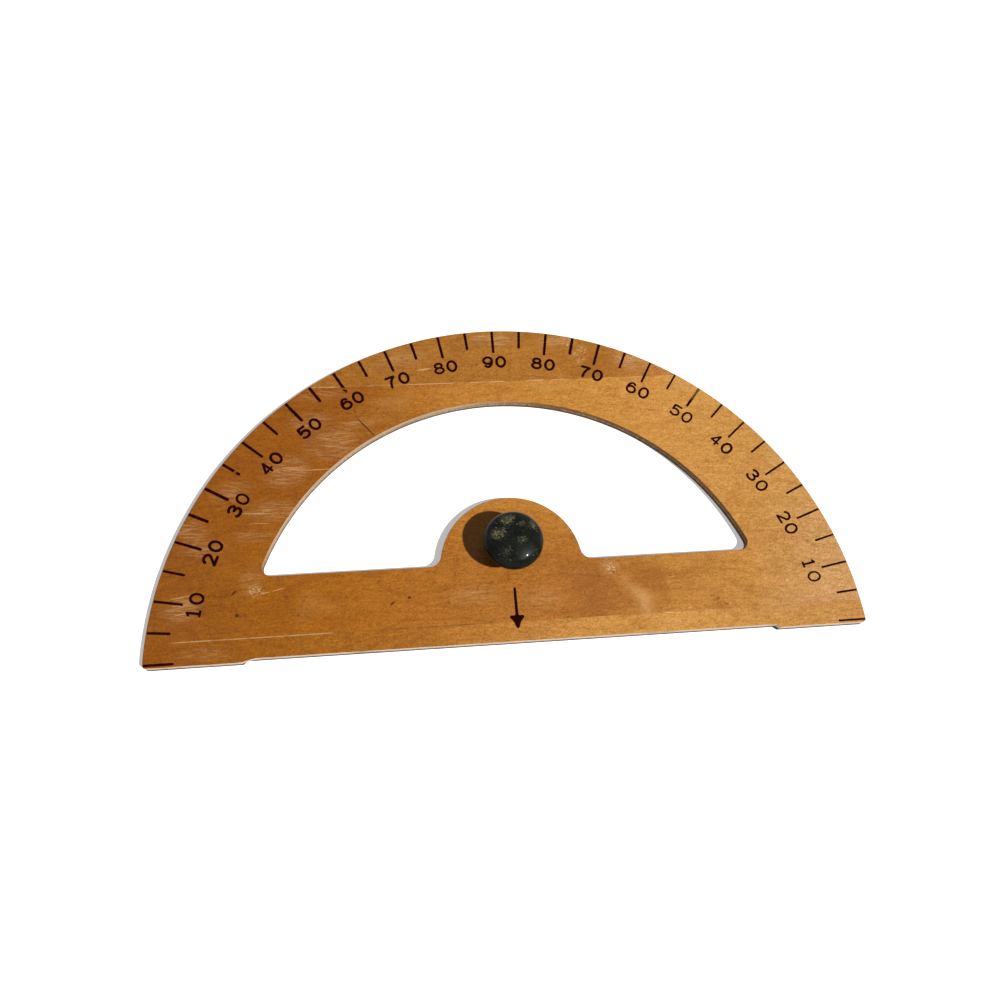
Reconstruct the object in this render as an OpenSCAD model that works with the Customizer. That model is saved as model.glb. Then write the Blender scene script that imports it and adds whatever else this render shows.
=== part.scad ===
// Blackboard protractor: a half circle of three-ply wood with a ruling edge,
// a degree scale in ink, and one turned knob to hold it by.
// X runs along the ruling edge, Y from that edge to the arc, Z out of the
// printed face. The origin is the vertex of the angles, at the back of the
// plate, so the back face lies in the plane Z = 0.

/* [Plate] */
// Radius of the graduated arc, from the vertex
arc_radius = 190.5; // [150:0.5:260]
// Width of the arc band
band_width = 48.9; // [36:0.1:60]
// Height of the crossbar above the ruling edge
bar_height = 43.3; // [34:0.1:54]
// Thickness of one ply
ply_thickness = 2; // [1.5:0.1:3]
// Radius of the boss that carries the knob
boss_radius = 38.8; // [30:0.1:46]
// Height of the centre of the boss above the ruling edge
boss_rise = 42.4; // [34:0.1:50]
// Fillet between the boss and the crossbar
boss_fillet = 6.5; // [3:0.1:10]
// Fillet between the crossbar and the inner arc
corner_fillet = 5; // [2:0.1:10]

/* [Feet] */
// Length of each foot along the ruling edge
foot_length = 48.8; // [36:0.1:64]
// Drop of the feet below the ruling edge
foot_drop = 1.7; // [1:0.1:4]
// Length of the slope from a foot up to the ruling edge
foot_slope = 2; // [0.5:0.1:8]
// Radius of the outer corner of a foot
foot_corner = 2.2; // [0.5:0.1:4]

/* [Plies] */
// Height of the lower seam of the face ply above the ruling edge
lower_seam = 10.7; // [6:0.1:30]
// Depth of the upper seam of the face ply below the top of the arc
upper_seam = 35.2; // [20:0.1:36]
// Height of the seam of the back ply above the ruling edge
back_seam = 96; // [84:0.5:110]
// Width of the middle strip of the core
core_strip = 127; // [100:1:150]

/* [Scale] */
// Thickness of the printed ink
ink_thickness = 0.1; // [0.05:0.01:0.2]
// Width of the graduation lines
line_width = 1.1; // [0.6:0.05:1.6]
// Length of a line at each ten degrees
long_line = 15.1; // [12:0.1:18]
// Length of a line at each odd five degrees
short_line = 11.8; // [8:0.1:15]
// Bare margin between the lines and the rim
rim_margin = 0.6; // [0.3:0.1:1.5]
// Angle between neighbouring lines
line_step = 5; // [5,10,15]
// Height of a digit, over its stroke
digit_height = 7.6; // [5:0.1:9]
// Width of a digit, over its stroke
digit_width = 6; // [4:0.1:6.6]
// Distance between the centres of the two digits of a number
digit_pitch = 7.8; // [7.4:0.1:9]
// Width of the pen stroke of a digit
digit_stroke = 1; // [0.6:0.05:1.2]
// Gap between a long line and the number below it
digit_gap = 2.3; // [1:0.1:4]

/* [Vertex arrow] */
// Height of the arrow's tip above the ruling edge
arrow_tip = 7; // [3:0.1:12]
// Length of the arrow from tip to tail
arrow_length = 22; // [16:0.1:28]
// Length of the arrow's head
arrow_head = 7; // [5:0.1:9]
// Width of the arrow's head across the barbs
arrow_width = 7.2; // [5:0.1:9]
// Width of the arrow's shaft
arrow_shaft = 1.05; // [0.6:0.05:1.5]

/* [Knob] */
// Height of the knob's axis above the ruling edge
knob_rise = 50.7; // [42:0.1:60]
// Diameter of the knob at its widest
knob_diameter = 31.8; // [26:0.1:38]
// Height of the knob above the face
knob_height = 23; // [20:0.1:28]
// Height of the widest part of the knob above the face
knob_belly = 15; // [12:0.1:16]
// Radius of the knob's rounded shoulder
knob_shoulder = 4; // [2:0.1:5]
// Radius of the hollow under the shoulder
knob_cove = 8; // [6:0.1:10]
// Diameter of the knob's neck
neck_diameter = 15; // [12:0.1:18]
// Diameter of the foot of the knob
foot_diameter = 19; // [18.6:0.1:24]
// Height of the foot of the knob
foot_height = 1.6; // [1:0.1:2.4]

/* [Screw] */
// Diameter of the screw's shank
shank_diameter = 4.2; // [3:0.1:5.5]
// Diameter of the screw's countersunk head
head_diameter = 8.2; // [6.8:0.1:10]
// Angle between the sides of the countersunk head
head_angle = 82; // [75:1:100]
// Height of the cylindrical edge of the head
head_edge = 0.3; // [0.1:0.05:0.6]
// Length of the screw from head to point
screw_length = 19; // [16:0.5:21]
// Length of the screw's tapered point
point_length = 3; // [1.5:0.1:4]
// Width of the driving slot
slot_width = 1.1; // [0.6:0.05:1.4]
// Depth of the driving slot
slot_depth = 1.2; // [0.6:0.05:1.6]
// Depth of the head below the back face
head_recess = 0.2; // [0.1:0.05:0.6]
// Clearance around the screw where it turns in the plate
screw_clearance = 0.1; // [0.05:0.01:0.3]
// Clearance around the screw where it is driven into the knob
thread_clearance = 0.02; // [0.01:0.01:0.05]

/* [Hidden] */
$fn = 96;

// How far a cutting shape reaches past what it cuts
over = 1;
// How far the circle of a fillet reaches across the edges that it joins, so
// that it meets each of them at a point
bite = 0.01;
plate_thickness = 3 * ply_thickness;
inner_radius = arc_radius - band_width;
line_end = arc_radius - rim_margin;
digit_ring = line_end - long_line - digit_gap - digit_height / 2;
// Half sizes of the centre line of a digit
digit_a = (digit_width - digit_stroke) / 2;
digit_b = (digit_height - digit_stroke) / 2;
// Degrees between the points along a digit's curves
curve_step = 12;
// Points round the half circle that ends a pen stroke
cap_points = 5;

face_wood = [0.72, 0.48, 0.23];
core_wood = [0.45, 0.33, 0.20];
back_wood = [0.64, 0.42, 0.20];
knob_paint = [0.10, 0.12, 0.08];
screw_steel = [0.60, 0.58, 0.54];
ink = [0.14, 0.07, 0.06];

// The point at a distance and an angle from the vertex
function polar(radius, angle) = [radius * cos(angle), radius * sin(angle)];

// Rounding of the corner between a level line and the inside of a circle
// about the vertex. The corner is at the right, above the line.
module inner_corner(radius, level, fillet) {
    centre_y = level + fillet - bite;
    centre_x = sqrt(pow(radius - fillet + bite, 2) - pow(centre_y, 2));
    bearing = atan2(centre_y, centre_x);
    difference() {
        polygon([
            [centre_x, centre_y],
            [centre_x, level - over],
            [radius + over, level - over],
            polar(radius + over, bearing)
        ]);
        translate([centre_x, centre_y])
            circle(r = fillet);
    }
}

// Fillet between the side of the boss and the top of the crossbar, at the right
module boss_corner() {
    centre_y = bar_height + boss_fillet - bite;
    reach = boss_radius + boss_fillet - bite;
    centre_x = sqrt(pow(reach, 2) - pow(centre_y - boss_rise, 2));
    // Half way between the centre of the boss and the centre of the fillet
    middle = [centre_x, boss_rise + centre_y] / 2;
    base = min(boss_rise, bar_height) - over;
    difference() {
        polygon([
            middle,
            [middle[0], base],
            [centre_x, base],
            [centre_x, centre_y]
        ]);
        translate([centre_x, centre_y])
            circle(r = boss_fillet);
    }
}

// Both a shape and its mirror image across the middle of the plate
module both_sides() {
    children();
    mirror([1, 0, 0])
        children();
}

// Outline of the gap between the arc, the crossbar and the boss
module gap_outline() {
    difference() {
        intersection() {
            circle(r = inner_radius);
            translate([-inner_radius, bar_height])
                square([2 * inner_radius, inner_radius]);
        }
        both_sides()
            inner_corner(inner_radius, bar_height, corner_fillet);
        translate([0, boss_rise])
            circle(r = boss_radius);
        both_sides()
            boss_corner();
    }
}

// Outline of the hollow that leaves the ruling edge between the two feet
module edge_outline() {
    foot_start = arc_radius - foot_length;
    edge_end = foot_start - foot_slope;
    slope = foot_slope / foot_drop;
    polygon([
        [-edge_end, 0],
        [edge_end, 0],
        [foot_start + over * slope, -foot_drop - over],
        [-foot_start - over * slope, -foot_drop - over]
    ]);
}

// Outline of the whole plate, from the feet to the arc
module plate_outline() {
    difference() {
        intersection() {
            circle(r = arc_radius);
            translate([-arc_radius, -foot_drop])
                square([2 * arc_radius, arc_radius + foot_drop + over]);
        }
        both_sides()
            inner_corner(arc_radius, -foot_drop, foot_corner);
        edge_outline();
        gap_outline();
    }
}

// The hole through the plate for the screw, with its countersink at the back
module screw_hole() {
    radius = shank_diameter / 2 + screw_clearance;
    mouth = head_diameter / 2 + screw_clearance;
    cone_start = head_recess + head_edge;
    cone_height = (head_diameter - shank_diameter) / 2 / tan(head_angle / 2);
    translate([0, knob_rise, 0]) {
        translate([0, 0, -over])
            cylinder(h = plate_thickness + 2 * over, r = radius);
        translate([0, 0, -over])
            cylinder(h = cone_start + over, r = mouth);
        translate([0, 0, cone_start])
            cylinder(h = cone_height, r1 = mouth, r2 = radius);
    }
}

// One ply of the plate, kept only inside a rectangle
module ply(layer, from, to) {
    difference() {
        translate([0, 0, layer * ply_thickness])
            linear_extrude(ply_thickness)
                intersection() {
                    plate_outline();
                    translate(from)
                        square(to - from);
                }
        screw_hole();
    }
}

module face_leaf_lower() {
    color(face_wood)
        ply(2, [-arc_radius - over, -foot_drop - over], [arc_radius + over, lower_seam]);
}

module face_leaf_middle() {
    color(face_wood)
        ply(2, [-arc_radius - over, lower_seam], [arc_radius + over, arc_radius - upper_seam]);
}

module face_leaf_upper() {
    color(face_wood)
        ply(2, [-arc_radius - over, arc_radius - upper_seam], [arc_radius + over, arc_radius + over]);
}

module core_left() {
    color(core_wood)
        ply(1, [-arc_radius - over, -foot_drop - over], [-core_strip / 2, arc_radius + over]);
}

module core_middle() {
    color(core_wood)
        ply(1, [-core_strip / 2, -foot_drop - over], [core_strip / 2, arc_radius + over]);
}

module core_right() {
    color(core_wood)
        ply(1, [core_strip / 2, -foot_drop - over], [arc_radius + over, arc_radius + over]);
}

module back_leaf_lower() {
    color(back_wood)
        ply(0, [-arc_radius - over, -foot_drop - over], [arc_radius + over, back_seam]);
}

module back_leaf_upper() {
    color(back_wood)
        ply(0, [-arc_radius - over, back_seam], [arc_radius + over, arc_radius + over]);
}

// Half profile of the knob, from its foot up round the shoulder to the crown.
// The hollow touches the neck and the shoulder, and the crown the shoulder.
function knob_profile() =
    let(
        shoulder_x = knob_diameter / 2 - knob_shoulder,
        rise = knob_height - knob_belly,
        crown = (pow(shoulder_x, 2) + pow(rise, 2) - pow(knob_shoulder, 2))
            / (2 * (rise - knob_shoulder)),
        crown_start = atan2(knob_belly - knob_height + crown, shoulder_x),
        cove_x = neck_diameter / 2 + knob_cove,
        cove_y = knob_belly
            - sqrt(pow(knob_cove + knob_shoulder, 2) - pow(cove_x - shoulder_x, 2)),
        cove_end = atan2(knob_belly - cove_y, shoulder_x - cove_x),
        cove_start = 180 + asin((cove_y - foot_height) / knob_cove),
        steps = 12
    )
    concat(
        [[0, 0], [foot_diameter / 2, 0], [foot_diameter / 2, foot_height]],
        [for (i = [0 : steps])
            [cove_x, cove_y]
                + polar(knob_cove, cove_start + (cove_end - cove_start) * i / steps)],
        [for (i = [1 : steps])
            [shoulder_x, knob_belly]
                + polar(knob_shoulder,
                    cove_end - 180 + (crown_start - cove_end + 180) * i / steps)],
        [for (i = [1 : steps])
            [0, knob_height - crown]
                + polar(crown, crown_start + (90 - crown_start) * i / steps)]
    );

// The screw's own solid, or with a clearance the hole it cuts in the knob
module screw_body(clearance) {
    radius = shank_diameter / 2 + clearance;
    mouth = head_diameter / 2 + clearance;
    cone_height = (head_diameter - shank_diameter) / 2 / tan(head_angle / 2);
    cone_start = head_recess + head_edge;
    screw_end = head_recess + screw_length;
    rotate_extrude()
        polygon([
            [0, head_recess],
            [mouth, head_recess],
            [mouth, cone_start],
            [radius, cone_start + cone_height],
            [radius, screw_end - point_length],
            [radius / 6, screw_end + clearance],
            [0, screw_end + clearance]
        ]);
}

module knob() {
    color(knob_paint)
        translate([0, knob_rise, 0])
            difference() {
                translate([0, 0, plate_thickness])
                    rotate_extrude()
                        polygon(knob_profile());
                screw_body(thread_clearance);
            }
}

module knob_screw() {
    color(screw_steel)
        translate([0, knob_rise, 0])
            difference() {
                screw_body(0);
                translate([-head_diameter, -slot_width / 2, head_recess - over])
                    cube([2 * head_diameter, slot_width, slot_depth + over]);
            }
}

// Unit vector from one point to another
function heading(from, to) = (to - from) / norm(to - from);

// Direction of a path at one of its points
function path_heading(path, i) =
    heading(path[max(i - 1, 0)], path[min(i + 1, len(path) - 1)]);

// One edge of a pen stroke along a path: side is 1 for its left, -1 for its right
function stroke_edge(path, width, side) =
    [for (i = [0 : len(path) - 1])
        let(d = path_heading(path, i))
        path[i] + side * width / 2 * [-d[1], d[0]]];

// Points round the end of a pen stroke, from its left edge to its right edge
function stroke_cap(point, d, width) =
    let(bearing = atan2(d[1], d[0]))
    [for (k = [1 : cap_points])
        point + polar(width / 2, bearing + 90 - 180 * k / (cap_points + 1))];

// A pen stroke along a path of points, or along its points from first to last.
// The path's own two ends are round.
module pen(path, width, first = 0, last = undef) {
    path_end = len(path) - 1;
    stop = is_undef(last) ? path_end : last;
    left = stroke_edge(path, width, 1);
    right = stroke_edge(path, width, -1);
    polygon(concat(
        [for (i = [first : stop]) left[i]],
        stop == path_end ? stroke_cap(path[stop], path_heading(path, stop), width) : [],
        [for (i = [stop : -1 : first]) right[i]],
        first == 0 ? stroke_cap(path[0], -path_heading(path, 0), width) : []
    ));
}

// Straight pen strokes from each point of a path to the next
module lines(path, width) {
    for (i = [1 : len(path) - 1])
        pen([path[i - 1], path[i]], width);
}

// Path along part of an ellipse, from one angle to another
function curve(centre, a, b, from, to) =
    let(steps = ceil(abs(to - from) / curve_step))
    [for (i = [0 : steps])
        let(t = from + (to - from) * i / steps)
        centre + [a * cos(t), b * sin(t)]];

// Points round an oval, moved outwards along its normals by an offset
function oval_ring(centre, a, b, offset) =
    [for (t = [0 : curve_step : 359])
        let(normal = [b * cos(t), a * sin(t)])
        centre + [a * cos(t), b * sin(t)] + offset * normal / norm(normal)];

// A closed oval drawn with the pen
module oval(centre, a, b) {
    difference() {
        polygon(oval_ring(centre, a, b, digit_stroke / 2));
        polygon(oval_ring(centre, a, b, -digit_stroke / 2));
    }
}

// The digits, each about its own centre and drawn with the pen
module digit(value) {
    a = digit_a;
    b = digit_b;
    w = digit_stroke;
    // Half heights of the upper and lower loops of 3 and 8
    upper = 0.45 * b;
    lower = b - upper;
    // Half height of the loop of 6 and 9
    loop = 0.66 * b;
    if (value == 0) {
        oval([0, 0], a, b);
    }
    if (value == 1) {
        lines([[0, -b], [0, b], [-0.45 * a, 0.72 * b]], w);
        lines([[-0.5 * a, -b], [0.5 * a, -b]], w);
    }
    if (value == 2) {
        pen(curve([0, 0.42 * b], 0.9 * a, 0.58 * b, 165, -40), w);
        lines([[0.69 * a, 0.05 * b], [-0.9 * a, -b], [0.95 * a, -b]], w);
    }
    if (value == 3) {
        pen(curve([-0.05 * a, b - upper], 0.86 * a, upper, 150, -90), w);
        pen(curve([-0.05 * a, lower - b], a, lower, 90, -150), w);
    }
    if (value == 4) {
        lines([[0.35 * a, -b], [0.35 * a, b], [-a, -0.5 * b], [0.9 * a, -0.5 * b]], w);
    }
    if (value == 5) {
        lines([[0.85 * a, b], [-0.7 * a, b], [-0.78 * a, 0.08 * b]], w);
        pen(curve([-0.05 * a, -0.36 * b], a, 0.64 * b, 138, -145), w);
    }
    if (value == 6) {
        // From the top down the left side, then round the loop and back to that side
        side = curve([0, loop - b], a, 2 * b - loop, 55, 175);
        path = concat(side, curve([0, loop - b], a, loop, 185, 510));
        // Where the path is cut, half way round the loop
        cut = floor(len(path) / 2);
        pen(path, w, 0, cut);
        pen(path, w, cut);
    }
    if (value == 7) {
        lines([[-0.9 * a, b], [0.9 * a, b]], w);
        pen(curve([1.6 * a, -1.1 * b], 1.9 * a, 2.12 * b, 112, 177), w);
    }
    if (value == 8) {
        oval([0, b - upper], 0.82 * a, upper);
        oval([0, lower - b], a, lower);
    }
    if (value == 9) {
        rotate(180)
            digit(6);
    }
}

// A flat shape as a layer of ink on the printed face
module printed() {
    translate([0, 0, plate_thickness])
        linear_extrude(ink_thickness)
            children();
}

// One graduation line: round at its inner end and square at the rim
module degree_line(angle, length) {
    half = line_width / 2;
    inner = line_end - length + half;
    rotate(angle)
        polygon(concat(
            [[line_end, -half], [line_end, half]],
            [for (t = [90 : 30 : 270]) [inner + half * cos(t), half * sin(t)]]
        ));
}

// The number that a line at an angle carries: it counts up from both ends
function number_at(angle) = min(angle, 180 - angle);

module ten_degree_lines() {
    color(ink)
        printed()
            for (angle = [0 : line_step : 180])
                if (angle % 10 == 0)
                    degree_line(angle, long_line);
}

module five_degree_lines() {
    color(ink)
        printed()
            for (angle = [0 : line_step : 180])
                if (angle % 10 != 0)
                    degree_line(angle, short_line);
}

module numerals() {
    spread = digit_pitch / 2 / digit_ring * 180 / PI;
    color(ink)
        printed()
            for (angle = [10 : 10 : 170])
                for (side = [-1, 1])
                    rotate(angle - side * spread - 90)
                        translate([0, digit_ring])
                            digit(side < 0 ? number_at(angle) / 10 : 0);
}

module vertex_arrow() {
    half = arrow_shaft / 2;
    wing = arrow_width / 2;
    // Half width of the head between its barbs and its tip
    neck = arrow_width / 6;
    color(ink)
        printed()
            translate([0, arrow_tip])
                polygon([
                    [0, 0],
                    [neck * 0.7, arrow_head * 0.08],
                    [neck, arrow_head * 0.45],
                    [wing * 0.6, arrow_head * 0.72],
                    [wing, arrow_head * 0.9],
                    [wing * 0.9, arrow_head],
                    [half, arrow_head],
                    [half, arrow_length],
                    [-half, arrow_length],
                    [-half, arrow_head],
                    [-wing * 0.9, arrow_head],
                    [-wing, arrow_head * 0.9],
                    [-wing * 0.6, arrow_head * 0.72],
                    [-neck, arrow_head * 0.45],
                    [-neck * 0.7, arrow_head * 0.08]
                ]);
}

face_leaf_lower();
face_leaf_middle();
face_leaf_upper();
core_left();
core_middle();
core_right();
back_leaf_lower();
back_leaf_upper();
knob();
knob_screw();
ten_degree_lines();
five_degree_lines();
numerals();
vertex_arrow();
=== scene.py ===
"""Blackboard protractor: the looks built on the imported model.

Outlines are worked out in millimetres in the plane of the plate, and every mesh is in
metres in the row frame: X along the ruling edge, Y towards the arc, Z out of the face.
"""

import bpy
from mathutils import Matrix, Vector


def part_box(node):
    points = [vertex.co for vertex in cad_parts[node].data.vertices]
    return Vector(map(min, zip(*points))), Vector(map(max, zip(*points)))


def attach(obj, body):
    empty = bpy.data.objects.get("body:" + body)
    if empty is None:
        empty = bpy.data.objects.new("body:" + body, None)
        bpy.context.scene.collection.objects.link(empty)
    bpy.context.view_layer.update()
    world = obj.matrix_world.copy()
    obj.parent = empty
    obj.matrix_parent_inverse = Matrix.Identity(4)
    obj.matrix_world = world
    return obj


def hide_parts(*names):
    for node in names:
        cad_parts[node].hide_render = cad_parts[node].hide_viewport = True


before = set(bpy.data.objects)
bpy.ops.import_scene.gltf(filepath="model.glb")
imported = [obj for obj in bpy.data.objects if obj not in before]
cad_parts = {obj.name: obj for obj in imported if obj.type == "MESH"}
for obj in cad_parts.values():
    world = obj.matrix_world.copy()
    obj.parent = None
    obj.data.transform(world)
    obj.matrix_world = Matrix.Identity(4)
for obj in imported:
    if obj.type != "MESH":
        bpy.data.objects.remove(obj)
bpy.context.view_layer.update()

import math

import bpy
import numpy as np
from mathutils import Matrix, Quaternion, Vector, geometry, noise

MM = 0.001


def low(node):
    """Lowest corner of a CAD node, in millimetres."""
    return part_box(node)[0] / MM


def high(node):
    """Highest corner of a CAD node, in millimetres."""
    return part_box(node)[1] / MM


# Sizes of the plate, in millimetres
ARC_RADIUS = high("face_leaf_upper").y
LOWER_SEAM = high("face_leaf_lower").y
UPPER_SEAM = low("face_leaf_upper").y
BACK_SEAM = low("back_leaf_upper").y
CORE_SEAM = high("core_middle").x
FOOT_DROP = -low("face_leaf_lower").y
BACK_TOP = high("back_leaf_lower").z
CORE_TOP = high("core_middle").z
FACE_TOP = high("face_leaf_middle").z
BAND_WIDTH = 48.9
INNER_RADIUS = ARC_RADIUS - BAND_WIDTH
BAR_HEIGHT = 43.3
BOSS_RADIUS = 38.8
BOSS_RISE = 42.4
BOSS_FILLET = 6.5
CORNER_FILLET = 5
FOOT_LENGTH = 48.8
FOOT_SLOPE = 2
FOOT_CORNER = 2.2
SLOPE_FILLET = 0.8
# Length of the slope at the left foot on the face ply, where it is scraped off
WORN_SLOPE = 6.8

# The knob and its screw, in millimetres
KNOB_RISE = 50.7
KNOB_RADIUS = 15.9
KNOB_HEIGHT = 23
KNOB_BELLY = 15
KNOB_SHOULDER = 6
KNOB_COVE = 8
NECK_RADIUS = 7.5
KNOB_FOOT_RADIUS = 9.5
KNOB_FOOT_HEIGHT = 1.6
BORE_RADIUS = 2.12
HOLE_RADIUS = 2.2
BORE_DEPTH = 13.3
HEAD_MOUTH = 4.2
HEAD_FLAT = 0.5
HEAD_ANGLE = 82
HEAD_SLOPE = math.tan(math.radians(HEAD_ANGLE / 2))
HEAD_AT_CORE = HEAD_MOUTH - (BACK_TOP - HEAD_FLAT) * HEAD_SLOPE
DRILL_TIP = 2
KNOB_EASE = 0.3
KNOB_FOOT_EASE = 0.5
KNOB_SIDES = 160
# Dents in the knob: centre, size and depth
DENTS = [
    ((-9.5, 8.5, 20), 2.4, 0.22), ((-13.2, -1.5, 17.5), 2.0, 0.2), ((10.5, 10.0, 18.5), 1.8, 0.18),
    ((2.5, 11.5, 21), 2.0, 0.14), ((14.6, -4.5, 16), 1.5, 0.16), ((-3, -13.6, 18), 1.8, 0.15),
]

# The printed scale, in millimetres, and the degrees between points along a digit's curves
LINE_END = ARC_RADIUS - 0.6
LONG_LINE = 15.1
SHORT_LINE = 11.8
DIGIT_RING = LINE_END - LONG_LINE - 6.1
DIGIT_PITCH = 7.8
DIGIT_A = 2.5
DIGIT_B = 3.3
INK_THICKNESS = 0.1
PEN_STEP = 9
# Usual widths of the lines and of the digits' strokes: at the right, then from the top to the left
LINE_WIDTHS = (1.12, 1.58)
DIGIT_WIDTHS = (1.24, 1.54)
# Widths of the lines that are bolder or finer than their neighbours, by angle
ODD_LINES = {
    50: 1.5, 75: 1.76, 120: 1.76, 125: 1.76, 130: 1.76, 150: 1.76, 155: 1.76, 165: 1.34, 170: 1.34,
    175: 1.34, 180: 1.34,
}
# The same for the digits, by angle and by side: -1 for the first digit, 1 for the last
ODD_DIGITS = {
    (10, -1): 1.18, (10, 1): 1.0, (30, -1): 1.34, (40, -1): 1.12, (40, 1): 1.38, (60, -1): 1.34,
    (60, 1): 1.38, (100, -1): 1.35, (130, -1): 1.66, (130, 1): 1.62, (140, -1): 1.38,
    (150, -1): 1.64, (150, 1): 1.3, (160, 1): 1.58, (170, -1): 1.3, (170, 1): 1.34,
}

# The arrow at the vertex: its tip, where its shaft starts and stops, the shaft's widths, and half its head
ARROW_TIP = 7
SHAFT_START = 5
SHAFT_STOP = 21.5
SHAFT_WIDTHS = (1.65, 1.4)
HALF_HEAD = [
    (0.0, 0.0), (0.8, 0.35), (1.25, 1.7), (1.7, 3.0), (2.2, 4.0), (3.0, 4.9), (3.75, 5.7), (3.8, 6.4),
    (3.3, 7.0), (2.2, 7.0), (1.2, 6.9), (0.7, 7.6), (0.0, 7.8),
]

# How the edges are eased, in millimetres
RIM_EASE = 0.45
PLY_EASE = 0.06
SEAM_EASE = 0.07
CORE_INSET = 0.05
MOUTH_EASE = 0.25
MOUTH_EASE_MIDDLE = 0.07
# The scraped end of the recess in the ruling edge: its place, its spread and the extra wear there
SCRAPED_PLACE = (-138.5, -0.8)
SCRAPED_SPREAD = 3
SCRAPED_WEAR = 1.2

# Spacing of the points, in millimetres, and of the rings round an eased edge, in degrees
ARC_STEP = 1.6
LINE_STEP = 3
FILLET_STEP = 12
GRID_STEP = 3.4
GRID_ROOM = GRID_STEP * 0.45
EASE_STEPS = (0, 30, 60, 90)
END_ROOM = 1.2
TINY = 1e-4
# Sides that meet at a smaller angle in degrees are shaded as one curve
CREASE_ANGLE = 40
# Sides whose directions cross by less than this run on nearly straight
NEARLY_STRAIGHT = 0.2


def eased(share):
    """A share held between 0 and 1, leaving both ends softly."""
    share = min(max(share, 0), 1)
    return share * share * (3 - 2 * share)


def polar(radius, angle):
    """The point at a distance and an angle in degrees from the vertex."""
    return (radius * math.cos(math.radians(angle)), radius * math.sin(math.radians(angle)))


def arc(centre, radius, start, stop, step=FILLET_STEP):
    """Points along an arc, from one angle in degrees to another."""
    count = max(2, math.ceil(abs(stop - start) / step))
    angles = [start + (stop - start) * i / count for i in range(count + 1)]
    return [(centre[0] + x, centre[1] + y) for x, y in (polar(radius, a) for a in angles)]


def line(start, stop, step=LINE_STEP):
    """Points along a straight line."""
    count = max(1, math.ceil(math.dist(start, stop) / step))
    return [tuple(np.array(start) + (np.array(stop) - start) * i / count) for i in range(count + 1)]


def rounded(before, corner, after, radius):
    """Points round a corner between two straight lines."""
    a = (Vector(before) - Vector(corner)).normalized()
    b = (Vector(after) - Vector(corner)).normalized()
    half = a.angle(b) / 2
    centre = Vector(corner) + (a + b).normalized() * radius / math.sin(half)
    start = Vector(corner) + a * radius / math.tan(half) - centre
    stop = Vector(corner) + b * radius / math.tan(half) - centre
    turn = start.angle_signed(stop)
    begin = math.degrees(math.atan2(start.y, start.x))
    return arc(centre, radius, begin, begin - math.degrees(turn))


def join(*parts):
    """Point lists end to end, without repeated points."""
    joined = []
    for part in parts:
        for point in part:
            if not joined or math.dist(joined[-1], point) > TINY:
                joined.append(tuple(point))
    return joined


def mirrored(points):
    """The mirror image across the middle of the plate, in the direction that keeps the wood on the left."""
    return [(-x, y) for x, y in reversed(points)]


def outer_half(slope_length):
    """From the middle of the ruling edge round the foot and the arc to the top."""
    foot_start = ARC_RADIUS - FOOT_LENGTH
    edge_end = (foot_start - slope_length, 0)
    foot_end = (foot_start, -FOOT_DROP)
    centre_y = FOOT_CORNER - FOOT_DROP
    centre_x = math.sqrt((ARC_RADIUS - FOOT_CORNER) ** 2 - centre_y ** 2)
    bearing = math.degrees(math.atan2(centre_y, centre_x))
    arc_step = math.degrees(ARC_STEP / ARC_RADIUS)
    slope_in = rounded((0, 0), edge_end, foot_end, SLOPE_FILLET)
    slope_out = rounded(edge_end, foot_end, (ARC_RADIUS, -FOOT_DROP), SLOPE_FILLET)
    return join(
        line((0, 0), slope_in[0]),
        slope_in,
        slope_out,
        line(slope_out[-1], (centre_x, -FOOT_DROP)),
        arc((centre_x, centre_y), FOOT_CORNER, -90, bearing),
        arc((0, 0), ARC_RADIUS, bearing, 90, arc_step),
    )


def gap_half():
    """From the top of the gap down its right side and over the boss to the middle."""
    corner_y = BAR_HEIGHT + CORNER_FILLET
    corner_x = math.sqrt((INNER_RADIUS - CORNER_FILLET) ** 2 - corner_y ** 2)
    bearing = math.degrees(math.atan2(corner_y, corner_x))
    fillet_y = BAR_HEIGHT + BOSS_FILLET
    fillet_x = math.sqrt((BOSS_RADIUS + BOSS_FILLET) ** 2 - (fillet_y - BOSS_RISE) ** 2)
    boss_bearing = math.degrees(math.atan2(fillet_y - BOSS_RISE, fillet_x))
    return join(
        arc((0, 0), INNER_RADIUS, 90, bearing, math.degrees(ARC_STEP / INNER_RADIUS)),
        arc((corner_x, corner_y), CORNER_FILLET, bearing, -90),
        line((corner_x, BAR_HEIGHT), (fillet_x, BAR_HEIGHT)),
        arc((fillet_x, fillet_y), BOSS_FILLET, 270, 180 + boss_bearing),
        arc((0, BOSS_RISE), BOSS_RADIUS, boss_bearing, 90, math.degrees(ARC_STEP / BOSS_RADIUS)),
    )


def spaced(points):
    """The path without the points that crowd its ends, where an eased rim would fold over."""
    ends = (points[0], points[-1])
    return [p for p in points if p in ends or min(math.dist(p, end) for end in ends) > END_ROOM]


def clipped(points, axis, limit, side):
    """The stretches of a path on one side of a limit: side is 1 above it, -1 below it."""
    stretches = []
    current = []
    for a, b in zip(points, points[1:]):
        inside_a = (a[axis] - limit) * side >= -TINY
        inside_b = (b[axis] - limit) * side >= -TINY
        if inside_a and not current:
            current = [a]
        if inside_a != inside_b:
            share = (limit - a[axis]) / (b[axis] - a[axis])
            crossing = tuple(np.array(a) + (np.array(b) - a) * share)
            if inside_a:
                stretches.append(spaced(join(current, [crossing])))
                current = []
            else:
                current = [crossing]
        if inside_b:
            current = join(current, [b])
    if len(current) > 1:
        stretches.append(spaced(current))
    return stretches


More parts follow.
